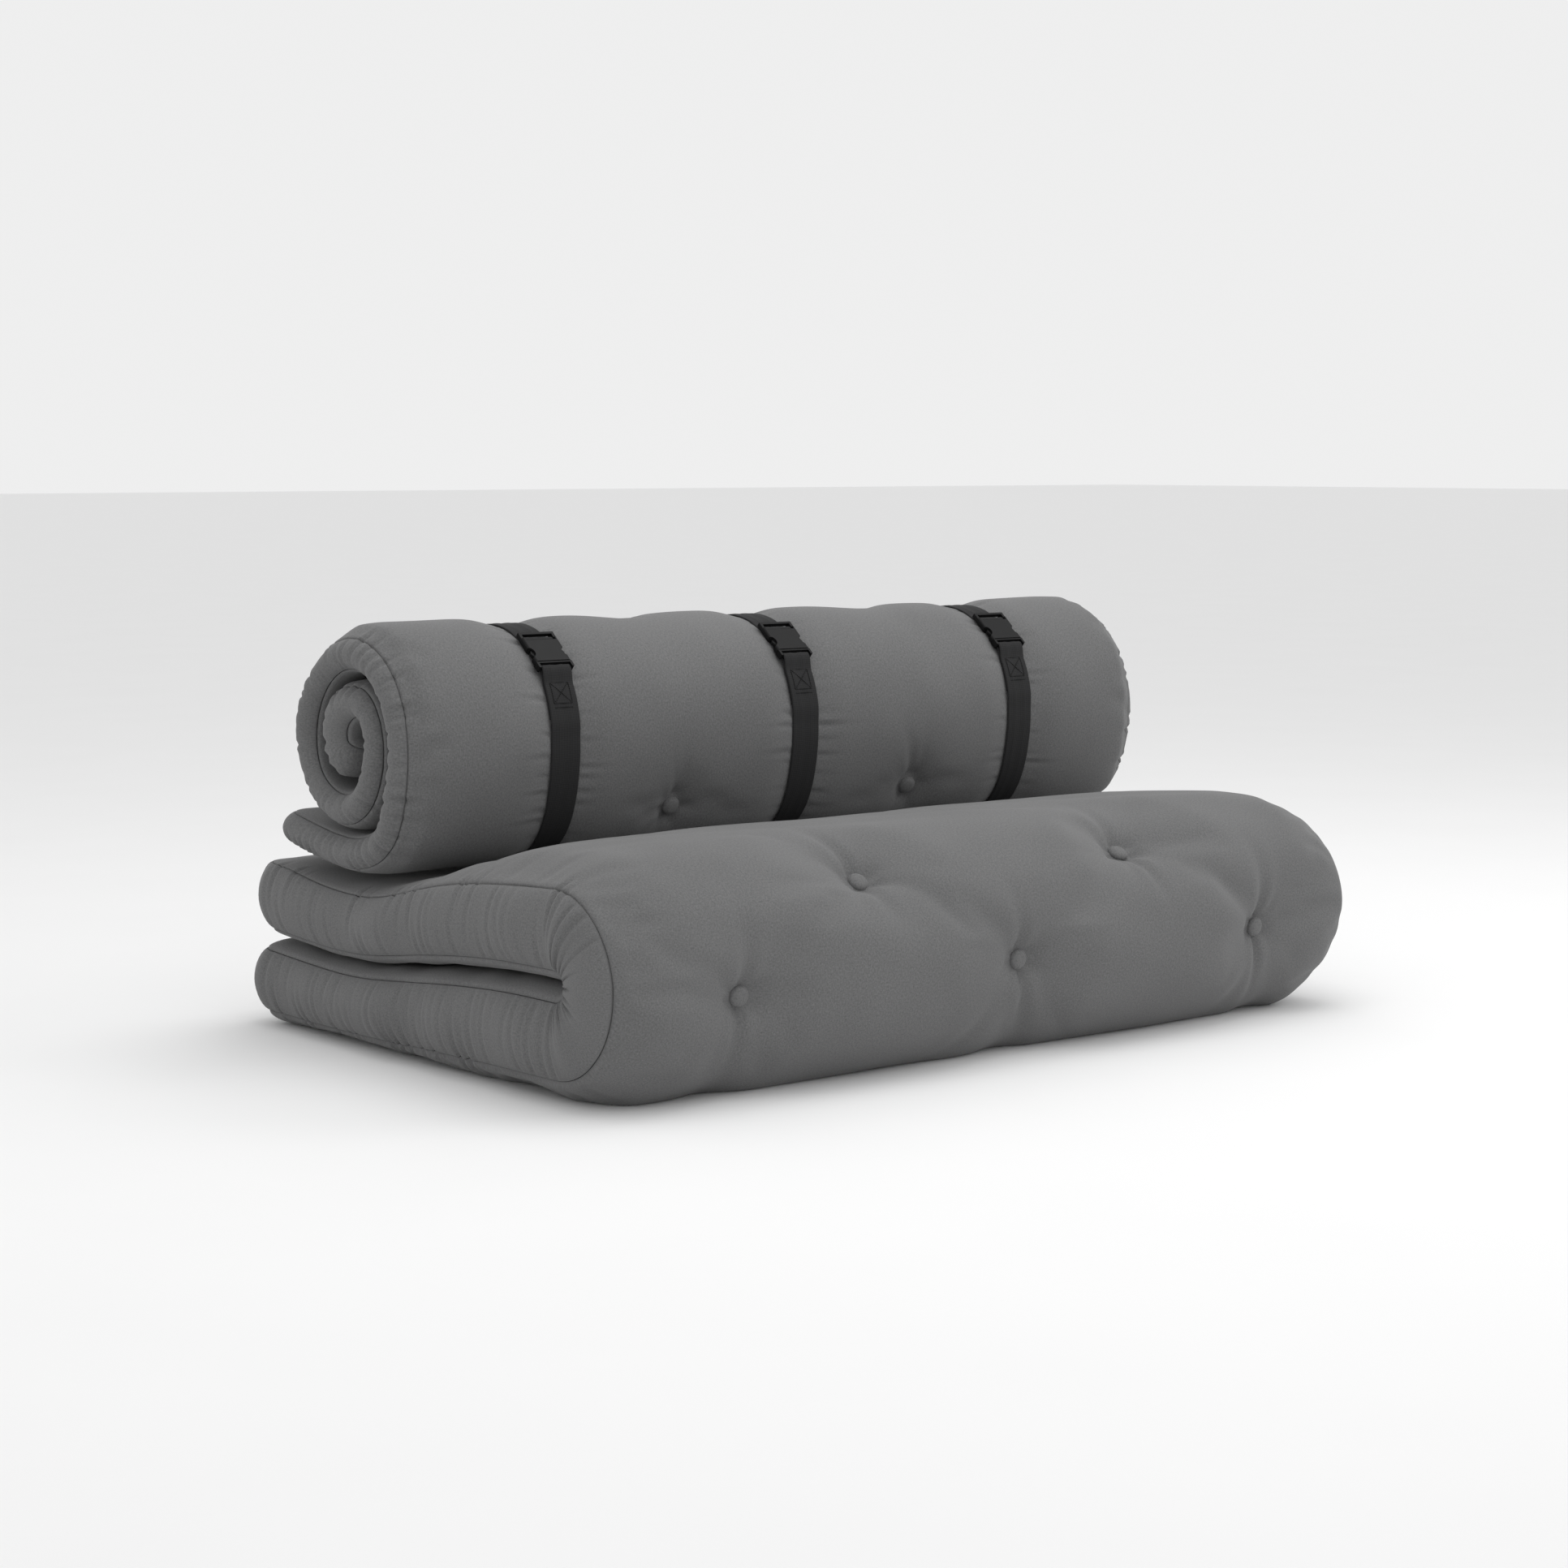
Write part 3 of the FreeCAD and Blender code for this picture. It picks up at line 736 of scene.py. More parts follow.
@dataclass
class Gathers:
    """Puckers across one side's band, where its seams draw it up."""

    rng: np.random.Generator
    spacing: Callable[[float], float]
    strength: Callable[[float], float]
    length: float
    at_outer: Callable[[float], float] = lambda along: 1.0
    kinds: tuple[float, float, float] = (0.36, 0.34, 0.30)
    puckers: list[Pucker] = field(default_factory=list)

    def __post_init__(self) -> None:
        """Draws the puckers, one after another."""
        at = 0.0
        while at < self.length:
            gap = self.spacing(at)
            at += gap * self.rng.uniform(0.5, 1.5)
            width = max(gap * self.rng.uniform(0.14, 0.26), 0.0034)
            depth = min(self.strength(at) * self.rng.uniform(0.3, 1.3), 0.80 * width)
            lean = self.rng.uniform(-0.4, 0.4) * gap
            reach = self.rng.uniform(0.28, 0.75)
            pucker = Pucker(at, width, depth, lean, reach, int(self.rng.choice(3, p=self.kinds)))
            if pucker.kind == 0 and self.at_outer(at) < self.rng.uniform():
                pucker.kind = 1
            self.puckers.append(pucker)

    @staticmethod
    def ridge(off: Grid) -> Grid:
        """A valley between two uneven ridges."""
        return -np.exp(-(off**2)) + 0.34 * np.exp(-((off - 1.75) ** 2)) + 0.17 * np.exp(-((off + 1.9) ** 2))

    def height(self, along: Grid, share: Grid) -> Grid:
        """Outward height of the band, for places along it and shares from outer to inner seam."""
        out = np.zeros_like(along)
        for p in self.puckers:
            near = np.abs(along - p.at) < p.width * 5 + abs(p.lean)
            v = share[near]
            if p.kind == 0:
                fade = np.exp(-((v / p.reach) ** 2)) * smooth((1 - v) / 0.08)
            elif p.kind == 1:
                fade = np.exp(-(((1 - v) / p.reach) ** 2)) * smooth(v / 0.08) * smooth((1 - v) / 0.06)
            else:
                fade = (0.8 + 0.2 * np.cos(2 * math.pi * v)) * smooth((1 - v) / 0.08) * smooth(v / 0.06)
            out[near] += p.depth * fade * self.ridge((along[near] - p.at - p.lean * v) / p.width)
        return out

    def over_edge(self, along: Grid, from_side: Grid, reach: float) -> Grid:
        """Height of the folds that run on over the outer seam on to the face."""
        out = np.zeros_like(along)
        for p in self.puckers:
            if p.kind == 0:
                near = (np.abs(along - p.at) < p.width * 5) & (from_side < reach * 3)
                fade = np.exp(-((from_side[near] / (reach * (0.6 + p.reach))) ** 2))
                out[near] += p.depth * fade * self.ridge((along[near] - p.at) / p.width)
        return out


@dataclass
class PadMesh:
    """The finished pad as one mesh, before it is cut into its pieces."""

    points: Grid
    faces: Grid
    uv: Grid
    stations: Grid
    normals: Grid


@dataclass
class Sewing:
    """Everything that shapes a pad's cover besides its cut."""

    creases: dict[int, Creases]
    gathers: dict[int, Gathers]
    swell: dict[int, Callable[[Layout], Grid]]
    freedom: dict[int, Callable[[Layout], Grid]]
    edge_reach: float
    lumps: Callable[[Grid, Grid], Grid]
    lump_size: float = 0.0012


@dataclass
class Edge:
    """The outline of a pad's faces, once round."""

    order: Grid
    ahead: Grid
    along: Grid
    across: Grid
    outward: Grid
    run: Grid


def outline(flat: Layout) -> Edge:
    """Follows the outline of a face: its points, outward headings and distance run."""
    order = ring(*flat.along.shape)
    along = flat.along.ravel()[order]
    across = flat.across.ravel()[order]
    ahead = np.roll(np.arange(len(order)), -1)
    behind = np.roll(np.arange(len(order)), 1)
    outward = np.stack([across[behind] - across[ahead], along[ahead] - along[behind]], -1)
    for _ in range(4):
        outward = (outward + outward[ahead] + outward[behind]) / 3
    outward /= np.linalg.norm(outward, axis=1, keepdims=True)
    run = np.cumsum(np.hypot(along - along[behind], across - across[behind]))
    return Edge(order, ahead, along, across, outward, run)


def folds_over_edge(flat: Layout, sewing: Sewing) -> Grid:
    """Height on the outer face of the band's folds that run on over its seam."""
    total = np.zeros(flat.along.shape)
    for side in (-1, 1):
        ripple = sewing.gathers[side].over_edge(flat.along, flat.from_side, sewing.edge_reach)
        total += np.where(np.sign(flat.across) == side, ripple, 0.0)
    return total


def sewn_panel(pad: FlatPad, flat: Layout, side: int, moved: Grid | None, folds: Grid,
               sewing: Sewing) -> Grid:
    """Shapes one face of a pad.

    Args:
        pad: the flat pad.
        flat: where the face's points lie.
        side: 1 for the outer face, -1 for the inner one.
        moved: movement from the cloth solver, or None.
        folds: height of the folds that come over the seam.
        sewing: folds, puckers and fullness.

    Returns:
        Along, across and share of the thickness, one row per point.
    """
    share = pad.share(side, flat)
    calm = smooth(flat.from_side / 0.03) * smooth(flat.from_end / 0.03)
    lift = -pad.dimples(side, flat.along, flat.across)
    lift -= sewing.creases[side].depth(flat.along, flat.across) * calm * CREASE_STRENGTH
    lift += sewing.lumps(flat.along, flat.across + side) * sewing.lump_size * calm
    lift += sewing.swell[side](flat) * calm
    shift = np.zeros((*flat.along.shape, 3))
    if moved is not None:
        cup = 1 - np.exp(-((pad.nearest_tuft(side, flat.along, flat.across) / 0.036) ** 3))
        shift = moved * (cup * sewing.freedom[side](flat))[..., None]
    lift += shift[..., 2]
    lift += folds
    across = flat.across + shift[..., 1] + np.sign(flat.across) * folds
    share = share + side * lift / (pad.thickness / 2)
    return np.stack([flat.along + shift[..., 0], across, share], -1).reshape(-1, 3)


def sewn_band(pad: FlatPad, edge: Edge, down: Grid, panels: list[Grid], sewing: Sewing) -> Grid:
    """Shapes the band between the two faces.

    Args:
        pad: the flat pad.
        edge: its outline.
        down: each point's share of the way from the outer to the inner seam.
        panels: the outer and the inner face.
        sewing: folds, puckers and fullness.

    Returns:
        Along, across and share of the thickness, by row and place on the outline.
    """
    along = np.repeat(edge.along[None], pad.rows, axis=0)
    bulge = np.sin(math.pi * down) ** 0.6
    bulge *= pad.bulge * (1 + 0.2 * sewing.lumps(along * 0.7, BAND_MAP + np.sign(edge.across)[None]))
    for side in (-1, 1):
        puckers = sewing.gathers[side].height(along, down)
        over = sewing.gathers[side].over_edge(along, np.zeros_like(along), sewing.edge_reach)
        here = (np.sign(edge.across) == side)[None]
        bulge += np.where(here, puckers - over * (1 - down), 0.0)
    top = panels[0][edge.order]
    low = panels[1][edge.order]
    band = top[None] * (1 - down[..., None]) + low[None] * down[..., None]
    band[..., :2] += edge.outward[None] * bulge[..., None]
    return band


def pad_faces(shape: tuple[int, int], edge: Edge, band_rows: int) -> Grid:
    """Quads of both faces and of the band between them."""
    rows, columns = shape
    count = rows * columns
    size = len(edge.order)
    faces = [panel_faces(rows, columns, 0, True), panel_faces(rows, columns, count, False)]
    rings = [edge.order] + [2 * count + size * k + np.arange(size) for k in range(band_rows)]
    rings.append(edge.order + count)
    for upper, lower in zip(rings, rings[1:]):
        faces.append(np.stack([upper, lower, lower[edge.ahead], upper[edge.ahead]], -1))
    return np.concatenate(faces)


def build_pad(pad: FlatPad, stations: Grid, columns: Grid, fields: dict | None, sewing: Sewing,
              place: Callable[[Grid, Grid, Grid], Grid]) -> PadMesh:
    """Joins the panels and the band of a pad and bends it to its final form.

    Args:
        pad: the flat pad.
        stations: where the mesh's rows lie along it.
        columns: where its columns lie across it, as shares.
        fields: movement from the cloth solver for each face, or None.
        sewing: folds, puckers and fullness.
        place: the bend, from along, across and share of thickness to a place.

    Returns:
        The mesh.
    """
    flat = pad.layout(stations, columns)
    folds = {1: folds_over_edge(flat, sewing), -1: np.zeros(flat.along.shape)}
    panels = []
    for side in (1, -1):
        moved = fields[side](stations, columns) if fields else None
        panels.append(sewn_panel(pad, flat, side, moved, folds[side], sewing))
    edge = outline(flat)
    for panel in panels:
        panel[edge.order, :2] -= edge.outward * pad.seam_groove
    rows = np.arange(1, pad.rows + 1) / (pad.rows + 1)
    rows = 0.5 - 0.5 * np.cos(math.pi * rows) * (0.75 + 0.25 * np.abs(np.cos(math.pi * rows)))
    down = np.repeat(rows[:, None], len(edge.order), axis=1)
    band = sewn_band(pad, edge, down, panels, sewing)
    everything = np.concatenate([*panels, band.reshape(-1, 3)])
    points = place(everything[:, 0], everything[:, 1], everything[:, 2])
    faces = facing_out(points, pad_faces(flat.along.shape, edge, pad.rows))
    plain = np.stack([flat.along.ravel(), flat.across.ravel()], -1)
    band_map = np.stack([np.tile(edge.run, pad.rows) + BAND_MAP, down.ravel() * pad.thickness * 0.6], -1)
    uv = np.concatenate([plain, plain + np.array([0.0, INNER_MAP]), band_map])
    along = np.concatenate([flat.along.ravel(), flat.along.ravel(), np.tile(edge.along, pad.rows)])
    return PadMesh(points, faces, uv, along, vertex_normals(points, faces))


def button_seat(mesh: PadMesh, tuft: Tuft, side: int, room: float) -> tuple[Grid, Grid]:
    """Place and outward direction of the cloth under a button."""
    centre = np.array([tuft.along, tuft.across + (0.0 if side > 0 else INNER_MAP)])
    away = np.linalg.norm(mesh.uv - centre, axis=1)
    under = away < room
    outward = mesh.normals[under].mean(0)
    return mesh.points[under].mean(0), outward / np.linalg.norm(outward)


def cut_piece(mesh: PadMesh, low: float, high: float, name: str,
              material: bpy.types.Material) -> tuple[bpy.types.Object, Grid]:
    """The stretch of a pad between two stations, as its own piece, and its points' stations."""
    middle = mesh.stations[mesh.faces].mean(1)
    chosen = mesh.faces[(middle >= low) & (middle < high)]
    used, renumbered = np.unique(chosen, return_inverse=True)
    piece = mesh_object(name, mesh.points[used], renumbered.reshape(-1, 4), material,
                        mesh.uv[used], mesh.normals[used])
    return piece, mesh.stations[used]


@dataclass(frozen=True)
class CoveredButton:
    """Domed button covered with the upholstery cloth."""

    radius: float = 0.0145
    height: float = 0.0072
    proud: float = 0.05
    turns: int = 40

    # Share of the radius and share of the height, from the middle out and round under the rim.
    profile = ((0.0, 1.0), (0.28, 0.985), (0.5, 0.93), (0.68, 0.83), (0.82, 0.68), (0.92, 0.48),
               (0.985, 0.25), (1.0, 0.05), (0.97, -0.15), (0.88, -0.32), (0.72, -0.5), (0.6, -0.9))

    def make(self, place: Grid, outward: Grid, rng: np.random.Generator) -> tuple[Grid, Grid, Grid]:
        """Shapes one button.

        Args:
            place: the bottom of its dimple.
            outward: the face's direction there.
            rng: random source for its slight tilt and tucks.

        Returns:
            Points, quads and cloth map.
        """
        axis = outward + rng.normal(0, 0.05, 3)
        axis /= np.linalg.norm(axis)
        side = np.cross(axis, [1.0, 0.0, 0.0] if abs(axis[0]) < 0.9 else [0.0, 1.0, 0.0])
        side /= np.linalg.norm(side)
        up = np.cross(axis, side)
        phase = rng.uniform(0, 2 * math.pi)
        angle = np.linspace(0, 2 * math.pi, self.turns, endpoint=False)
        points = []
        uv = []
        for share, lift in self.profile:
            tuck = 1 + 0.014 * share**3 * np.sin(9 * angle + phase) + 0.01 * np.sin(2 * angle + phase)
            reach = self.radius * share * tuck
            u, v = reach * np.cos(angle), reach * np.sin(angle)
            centre = place + axis * (lift + self.proud) * self.height
            points.append(centre + np.outer(u, side) + np.outer(v, up))
            uv.append(np.stack([BUTTON_MAP + u, v], -1))
        number = np.arange(len(self.profile) * self.turns).reshape(len(self.profile), self.turns)
        ahead = np.roll(number, -1, axis=1)
        faces = np.stack([number[:-1], number[1:], ahead[1:], ahead[:-1]], -1).reshape(-1, 4)
        return np.concatenate(points), faces, np.concatenate(uv)


def button_group(name: str, spots: list[tuple[Grid, Grid]], material: bpy.types.Material,
                 rng: np.random.Generator) -> bpy.types.Object:
    """A group of covered buttons as one piece."""
    points: list[Grid] = []
    faces: list[Grid] = []
    uv: list[Grid] = []
    button = CoveredButton()
    for number, (place, outward) in enumerate(spots):
        p, f, m = button.make(place, outward, rng)
        points.append(p)
        faces.append(f + number * len(p))
        uv.append(m)
    return mesh_object(name, np.concatenate(points), np.concatenate(faces), material, np.concatenate(uv))


# ---------------------------------------------------------------- the folded seat futon


class Stretch(Enum):
    """The four stretches that the seat futon is cut into."""

    LOWER = "seat_lower_futon"
    FOLD_UNDER = "seat_fold_under"
    FOLD_OVER = "seat_fold_over"
    UPPER = "seat_upper_futon"


@dataclass
class SeatFuton:
    """Thick tufted futon, folded in half over its front edge."""

    cloth: bpy.types.Material
    fold_radius: float = 0.155
    lower_rear: float = 0.456
    upper_rear: float = 0.440
    tuft_depth: float = 0.023
    gap: float = 0.0008
    short_right: float = 0.022
    most_swell: float = 0.024

    # Height of the face where the two halves meet, rear to front, pressed down under the roll.
    meeting_line = [(0.456, 0.131), (0.30, 0.122), (0.18, 0.120), (0.06, 0.131), (-0.08, 0.146),
                    (-0.20, 0.154), (-0.313, 0.1555)]
    # Height of the seat's top, front to rear, with the hollow under the roll.
    top_line = [(-0.313, 0.310), (-0.224, 0.306), (-0.120, 0.297), (-0.040, 0.285), (0.030, 0.269),
                (0.090, 0.254), (0.150, 0.245), (0.205, 0.243), (0.300, 0.248), (0.360, 0.255),
                (0.440, 0.258)]

    def __post_init__(self) -> None:
        """Works out where the stretches begin, and draws the face lines."""
        self.fold_start = self.lower_rear - CREASE_DEPTH
        self.fold_length = math.pi * self.fold_radius
        self.fold_end = self.fold_start + self.fold_length
        self.length = self.fold_end + self.upper_rear - CREASE_DEPTH
        self.meeting = SmoothLine(self.meeting_line)
        self.top = SmoothLine(self.top_line)

    def faces_at(self, along: Grid) -> tuple[Grid, Grid]:
        """Depth and height of the outer and inner faces at full crown, for places along."""
        lower_y = self.lower_rear - along
        upper_y = CREASE_DEPTH + along - self.fold_end
        angle = (np.clip((along - self.fold_start) / self.fold_length, 0, 1) - 0.5) * math.pi
        meet = self.meeting.spots[::-1]
        lower_in = np.interp(lower_y, meet[:, 0], meet[:, 1]) - self.gap
        upper_in = np.interp(upper_y, meet[:, 0], meet[:, 1]) + self.gap
        upper_out = np.interp(upper_y, self.top.spots[:, 0], self.top.spots[:, 1])
        low = along < self.fold_start
        high = along > self.fold_end
        round_y = CREASE_DEPTH - self.fold_radius * np.cos(angle)
        round_z = CREASE_HEIGHT + self.fold_radius * np.sin(angle)
        outer_y = np.where(low, lower_y, np.where(high, upper_y, round_y))
        outer_z = np.where(low, 0.0, np.where(high, upper_out, round_z))
        inner_y = np.where(low, lower_y, np.where(high, upper_y, CREASE_DEPTH - 0.006 * np.cos(angle)))
        inner_z = np.where(low, lower_in, np.where(high, upper_in, 0.1555 + self.gap * np.sin(angle)))
        return np.stack([outer_y, outer_z], -1), np.stack([inner_y, inner_z], -1)

    def place(self, along: Grid, across: Grid, share: Grid) -> Grid:
        """Bends flat places into the folded seat."""
        outer, inner = self.faces_at(along)
        share = np.maximum(share, -1.0)
        share = np.where(along < self.fold_start, np.minimum(share, 1.0), share)
        spot = inner + (outer - inner) * ((share + 1) / 2)[..., None]
        across = across - self.short_right * smooth((across - 0.30) / 0.39) - 0.004
        return np.stack([across, spot[..., 0], np.maximum(spot[..., 1], 0.0)], -1)

    def outer_seam(self, along: Grid) -> Grid:
        """Share of the thickness at which the outer seam lies."""
        marks = [0.0, self.fold_start, self.fold_start + 0.25 * self.fold_length,
                 self.fold_start + 0.55 * self.fold_length, self.fold_end - 0.06, self.fold_end + 0.09,
                 self.fold_end + 0.45, self.length]
        return np.interp(along, marks, [0.66, 0.58, 0.60, 0.70, 0.66, 0.62, 0.60, 0.76])

    def softness(self, along: Grid) -> Grid:
        """How much of the outer face's rise is long and easy: little underneath, more on top."""
        marks = [0.0, self.fold_start, self.fold_start + 0.5 * self.fold_length, self.fold_end, self.length]
        return np.interp(along, marks, [0.12, 0.14, 0.30, 0.46, 0.40])

    def shoulders(self, along: Grid) -> Grid:
        """How far the outer face's round shoulder reaches: full underneath, broad on top."""
        marks = [0.0, self.fold_start + 0.3 * self.fold_length, self.fold_end]
        return np.interp(along, marks, [0.038, 0.042, 0.080])

    def valleys(self, flat: Layout) -> Grid:
        """Hollows that run under the front edge in line with the buttons, negative."""
        low = self.fold_start - 0.10
        total = np.zeros(flat.along.shape)
        for x, top in ((-0.505, 0.44), (-0.262, 0.16), (0.012, 0.44), (0.285, 0.16), (0.545, 0.44)):
            high = self.fold_start + top * self.fold_length
            window = smooth((flat.along - low + 0.05) / 0.10) * smooth((high - flat.along) / 0.10)
            total -= 0.0085 * window * np.exp(-(((flat.across - x) / 0.040) ** 2))
        for y in (-0.200, 0.020, 0.230):
            near = np.exp(-(((flat.along - self.lower_rear + y) / 0.042) ** 2))
            total -= 0.0085 * near * np.exp(-(flat.from_side / 0.20) ** 2)
        return total

    def freedom(self, flat: Layout) -> Grid:
        """Share of the swelling that is left free: none where the roll presses on the seat."""
        y = CREASE_DEPTH + flat.along - self.fold_end
        pressed = smooth((y + 0.06) / 0.09) * smooth((0.46 - y) / 0.05)
        return 0.80 * (1 - pressed * (flat.along > self.fold_end))

    def tufts(self) -> dict[int, list[Tuft]]:
        """Buttons on the outer and inner faces."""
        wide = (-0.490, 0.0, 0.490)
        near = (-0.247, 0.247)
        deep = self.tuft_depth
        lower = [(-0.200, near), (0.020, wide), (0.230, near)]
        upper = [(0.020, wide), (0.230, near)]
        outer = [Tuft(self.lower_rear - y, x, deep * 0.8) for y, xs in lower for x in xs]
        for degrees, xs in ((-7.0, wide), (54.0, near)):
            at = self.fold_start + self.fold_length * (degrees + 90.0) / 180.0
            outer += [Tuft(at, x, deep) for x in xs]
        outer += [Tuft(self.fold_end + y - CREASE_DEPTH, x, deep) for y, xs in upper for x in xs]
        inner = [Tuft(self.lower_rear - y, x, deep) for y, xs in lower for x in xs]
        inner += [Tuft(self.fold_end + y - CREASE_DEPTH, x, deep) for y, xs in upper for x in xs]
        return {1: outer, -1: inner}

    def creases(self, tufts: dict[int, list[Tuft]]) -> dict[int, Creases]:
        """Folds that run out from the buttons and fade."""
        rng = np.random.default_rng(SEED + 1)
        out = {}
        for side in (1, -1):
            folds = Creases()
            for tuft in tufts[side]:
                for heading in (2.0, 176.0, 38.0, -142.0, -52.0, 118.0, 78.0, -100.0):
                    main = abs(math.cos(math.radians(heading))) > 0.95
                    length = rng.uniform(0.085, 0.15) if main else rng.uniform(0.035, 0.075)
                    depth = rng.uniform(0.0042, 0.0064) if main else rng.uniform(0.0016, 0.0034)
                    folds.add(tuft.along, tuft.across, heading + rng.normal(0, 9), length,
                              rng.uniform(0.0060, 0.0095), depth)
                for heading in (62.0, -62.0, 118.0, -118.0):
                    folds.add(tuft.along, tuft.across, heading + rng.normal(0, 8), rng.uniform(0.14, 0.22),
                              rng.uniform(0.020, 0.030), rng.uniform(0.0015, 0.0038))
            out[side] = folds
        return out

    def near_fold(self, along: float) -> float:
        """How near a place is to the middle of the fold."""
        off = abs(along - self.fold_start - self.fold_length / 2)
        return math.exp(-((off / (self.fold_length * 0.50)) ** 4))

    def gathers(self) -> dict[int, Gathers]:
        """Puckers of the bands: fine along the sides, broad and deep round the fold."""
        return {
            side: Gathers(np.random.default_rng(SEED + 10 + side),
                          lambda along: 0.019 + 0.011 * self.near_fold(along),
                          lambda along: 0.0026 + 0.0054 * self.near_fold(along), self.length,
                          lambda along: 1 - self.near_fold(along))
            for side in (-1, 1)
        }

    def build(self, simulate: bool) -> None:
        """Makes the four stretches and their buttons, hands the lower and upper ones to their bodies, and
        bakes the fold's ones where they lie.
        """
        tufts = self.tufts()
        crowns = {1: Crown(self.shoulders, 0.30, self.softness), -1: Crown(even(0.045), 0.20, even(0.10))}
        pad = FlatPad(self.length, HALF_WIDTH, thickness=0.155, corner=0.034, bulge=0.020,
                      outer_seam=self.outer_seam, inner_seam=0.74, crowns=crowns, tufts=tufts,
                      seam_groove=0.0005)
        fields = pad.inflate(SOLVER_SQUARE, self.most_swell, "seat_working") if simulate else None
        middle = self.fold_start + self.fold_length / 2
        marks = [0.0, self.fold_start, middle, self.fold_end, self.length]
        fine = 0.0036 if simulate else 0.005
        runs = [np.linspace(a, b, round((b - a) / fine) + 1)[:-1] for a, b in zip(marks, marks[1:])]
        stations = np.concatenate(runs + [marks[-1:]])
        t = np.linspace(-1, 1, 190 if simulate else 140)
        columns = np.sign(t) * (1 - (1 - np.abs(t)) ** 1.25)
        sewing = Sewing(self.creases(tufts), self.gathers(),
                        {1: self.valleys, -1: nowhere},
                        {1: self.freedom, -1: nowhere},
                        0.016, undulation(np.random.default_rng(SEED + 3), 0.05, 0.24), 0.0016)
        mesh = build_pad(pad, stations, columns, fields, sewing, self.place)
        bounds = {Stretch.LOWER: (BEFORE_START, marks[1]), Stretch.FOLD_UNDER: marks[1:3],
                  Stretch.FOLD_OVER: marks[2:4], Stretch.UPPER: (marks[3], PAST_END)}
        for stretch, (low, high) in bounds.items():
            piece, places = cut_piece(mesh, low, high, stretch.value, self.cloth)
            self.attach(piece, stretch, places)
            log.info("%s: %d faces", piece.name, len(piece.data.polygons))
        self.add_buttons(mesh, pad.button_room, tufts)

    def attach(self, piece: bpy.types.Object, stretch: Stretch, places: Grid) -> None:
        """Rides the lower or upper stretch on its body, or bakes a fold stretch where it lies, and hides the
        plain solids that it stands for.
        """
        if stretch is Stretch.LOWER:
            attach(piece, "seat_lower")
            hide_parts(*[f"seat_lower_{n}" for n in SOFT_NODES])
            return
        if stretch is Stretch.UPPER:
            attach(piece, "seat_upper")
            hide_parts(*[f"seat_upper_{n}" for n in SOFT_NODES])
            return
        under = stretch is Stretch.FOLD_UNDER
        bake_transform(piece)
        self.turn(piece, places, under)
        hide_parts(*[f"seat_fold_{n}" for n in SOFT_NODES])

    def turn(self, piece: bpy.types.Object, places: Grid, under: bool) -> Grid:
        """Share of the quarter turn at each point.

        Points of the outer face turn evenly along the fold. Points at the crease turn all at
        once in its middle, so that the opened inner face is drawn straight between two rows.
        """
        spots = np.array([v.co for v in piece.data.vertices])
        steady = (places - self.fold_start) / (self.fold_length / 2) - (0 if under else 1)
        steady = np.clip(steady, 0.0, 1.0)
        away = np.hypot(spots[:, 1] - CREASE_DEPTH, spots[:, 2] - CREASE_HEIGHT)
        inner = smooth(1.15 - away / self.fold_radius * 1.3)
        return steady + inner * ((steady > 0.5) - steady)

    def add_buttons(self, mesh: PadMesh, room: float, tufts: dict[int, list[Tuft]]) -> None:
        """Covered buttons in the dimples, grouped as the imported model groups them."""
        rng = np.random.default_rng(SEED + 5)
        groups: dict[str, list[tuple[Grid, Grid]]] = {}
        for side in (1, -1):
            for tuft in tufts[side]:
                if tuft.along < self.fold_start:
                    name = "seat_lower_bottom_buttons" if side > 0 else "seat_lower_inner_buttons"
                elif tuft.along > self.fold_end:
                    name = "seat_upper_top_buttons" if side > 0 else "seat_upper_inner_buttons"
                else:
                    row = "front" if tuft.along < self.fold_start + self.fold_length / 2 else "edge"
                    name = f"seat_fold_{row}_buttons"
                groups.setdefault(name, []).append(button_seat(mesh, tuft, side, room))
        for name, spots in groups.items():
            piece = button_group(f"covered_{name}", spots, self.cloth, rng)
            if name == "seat_fold_edge_buttons":
                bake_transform(piece)
            elif name == "seat_fold_front_buttons":
                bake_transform(piece)
                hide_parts(name)
            else:
                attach(piece, "seat_lower" if "lower" in name else "seat_upper")
                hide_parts(name)
            log.info("%s: %d buttons", piece.name, len(spots))


# ---------------------------------------------------------------- the rolled back futon


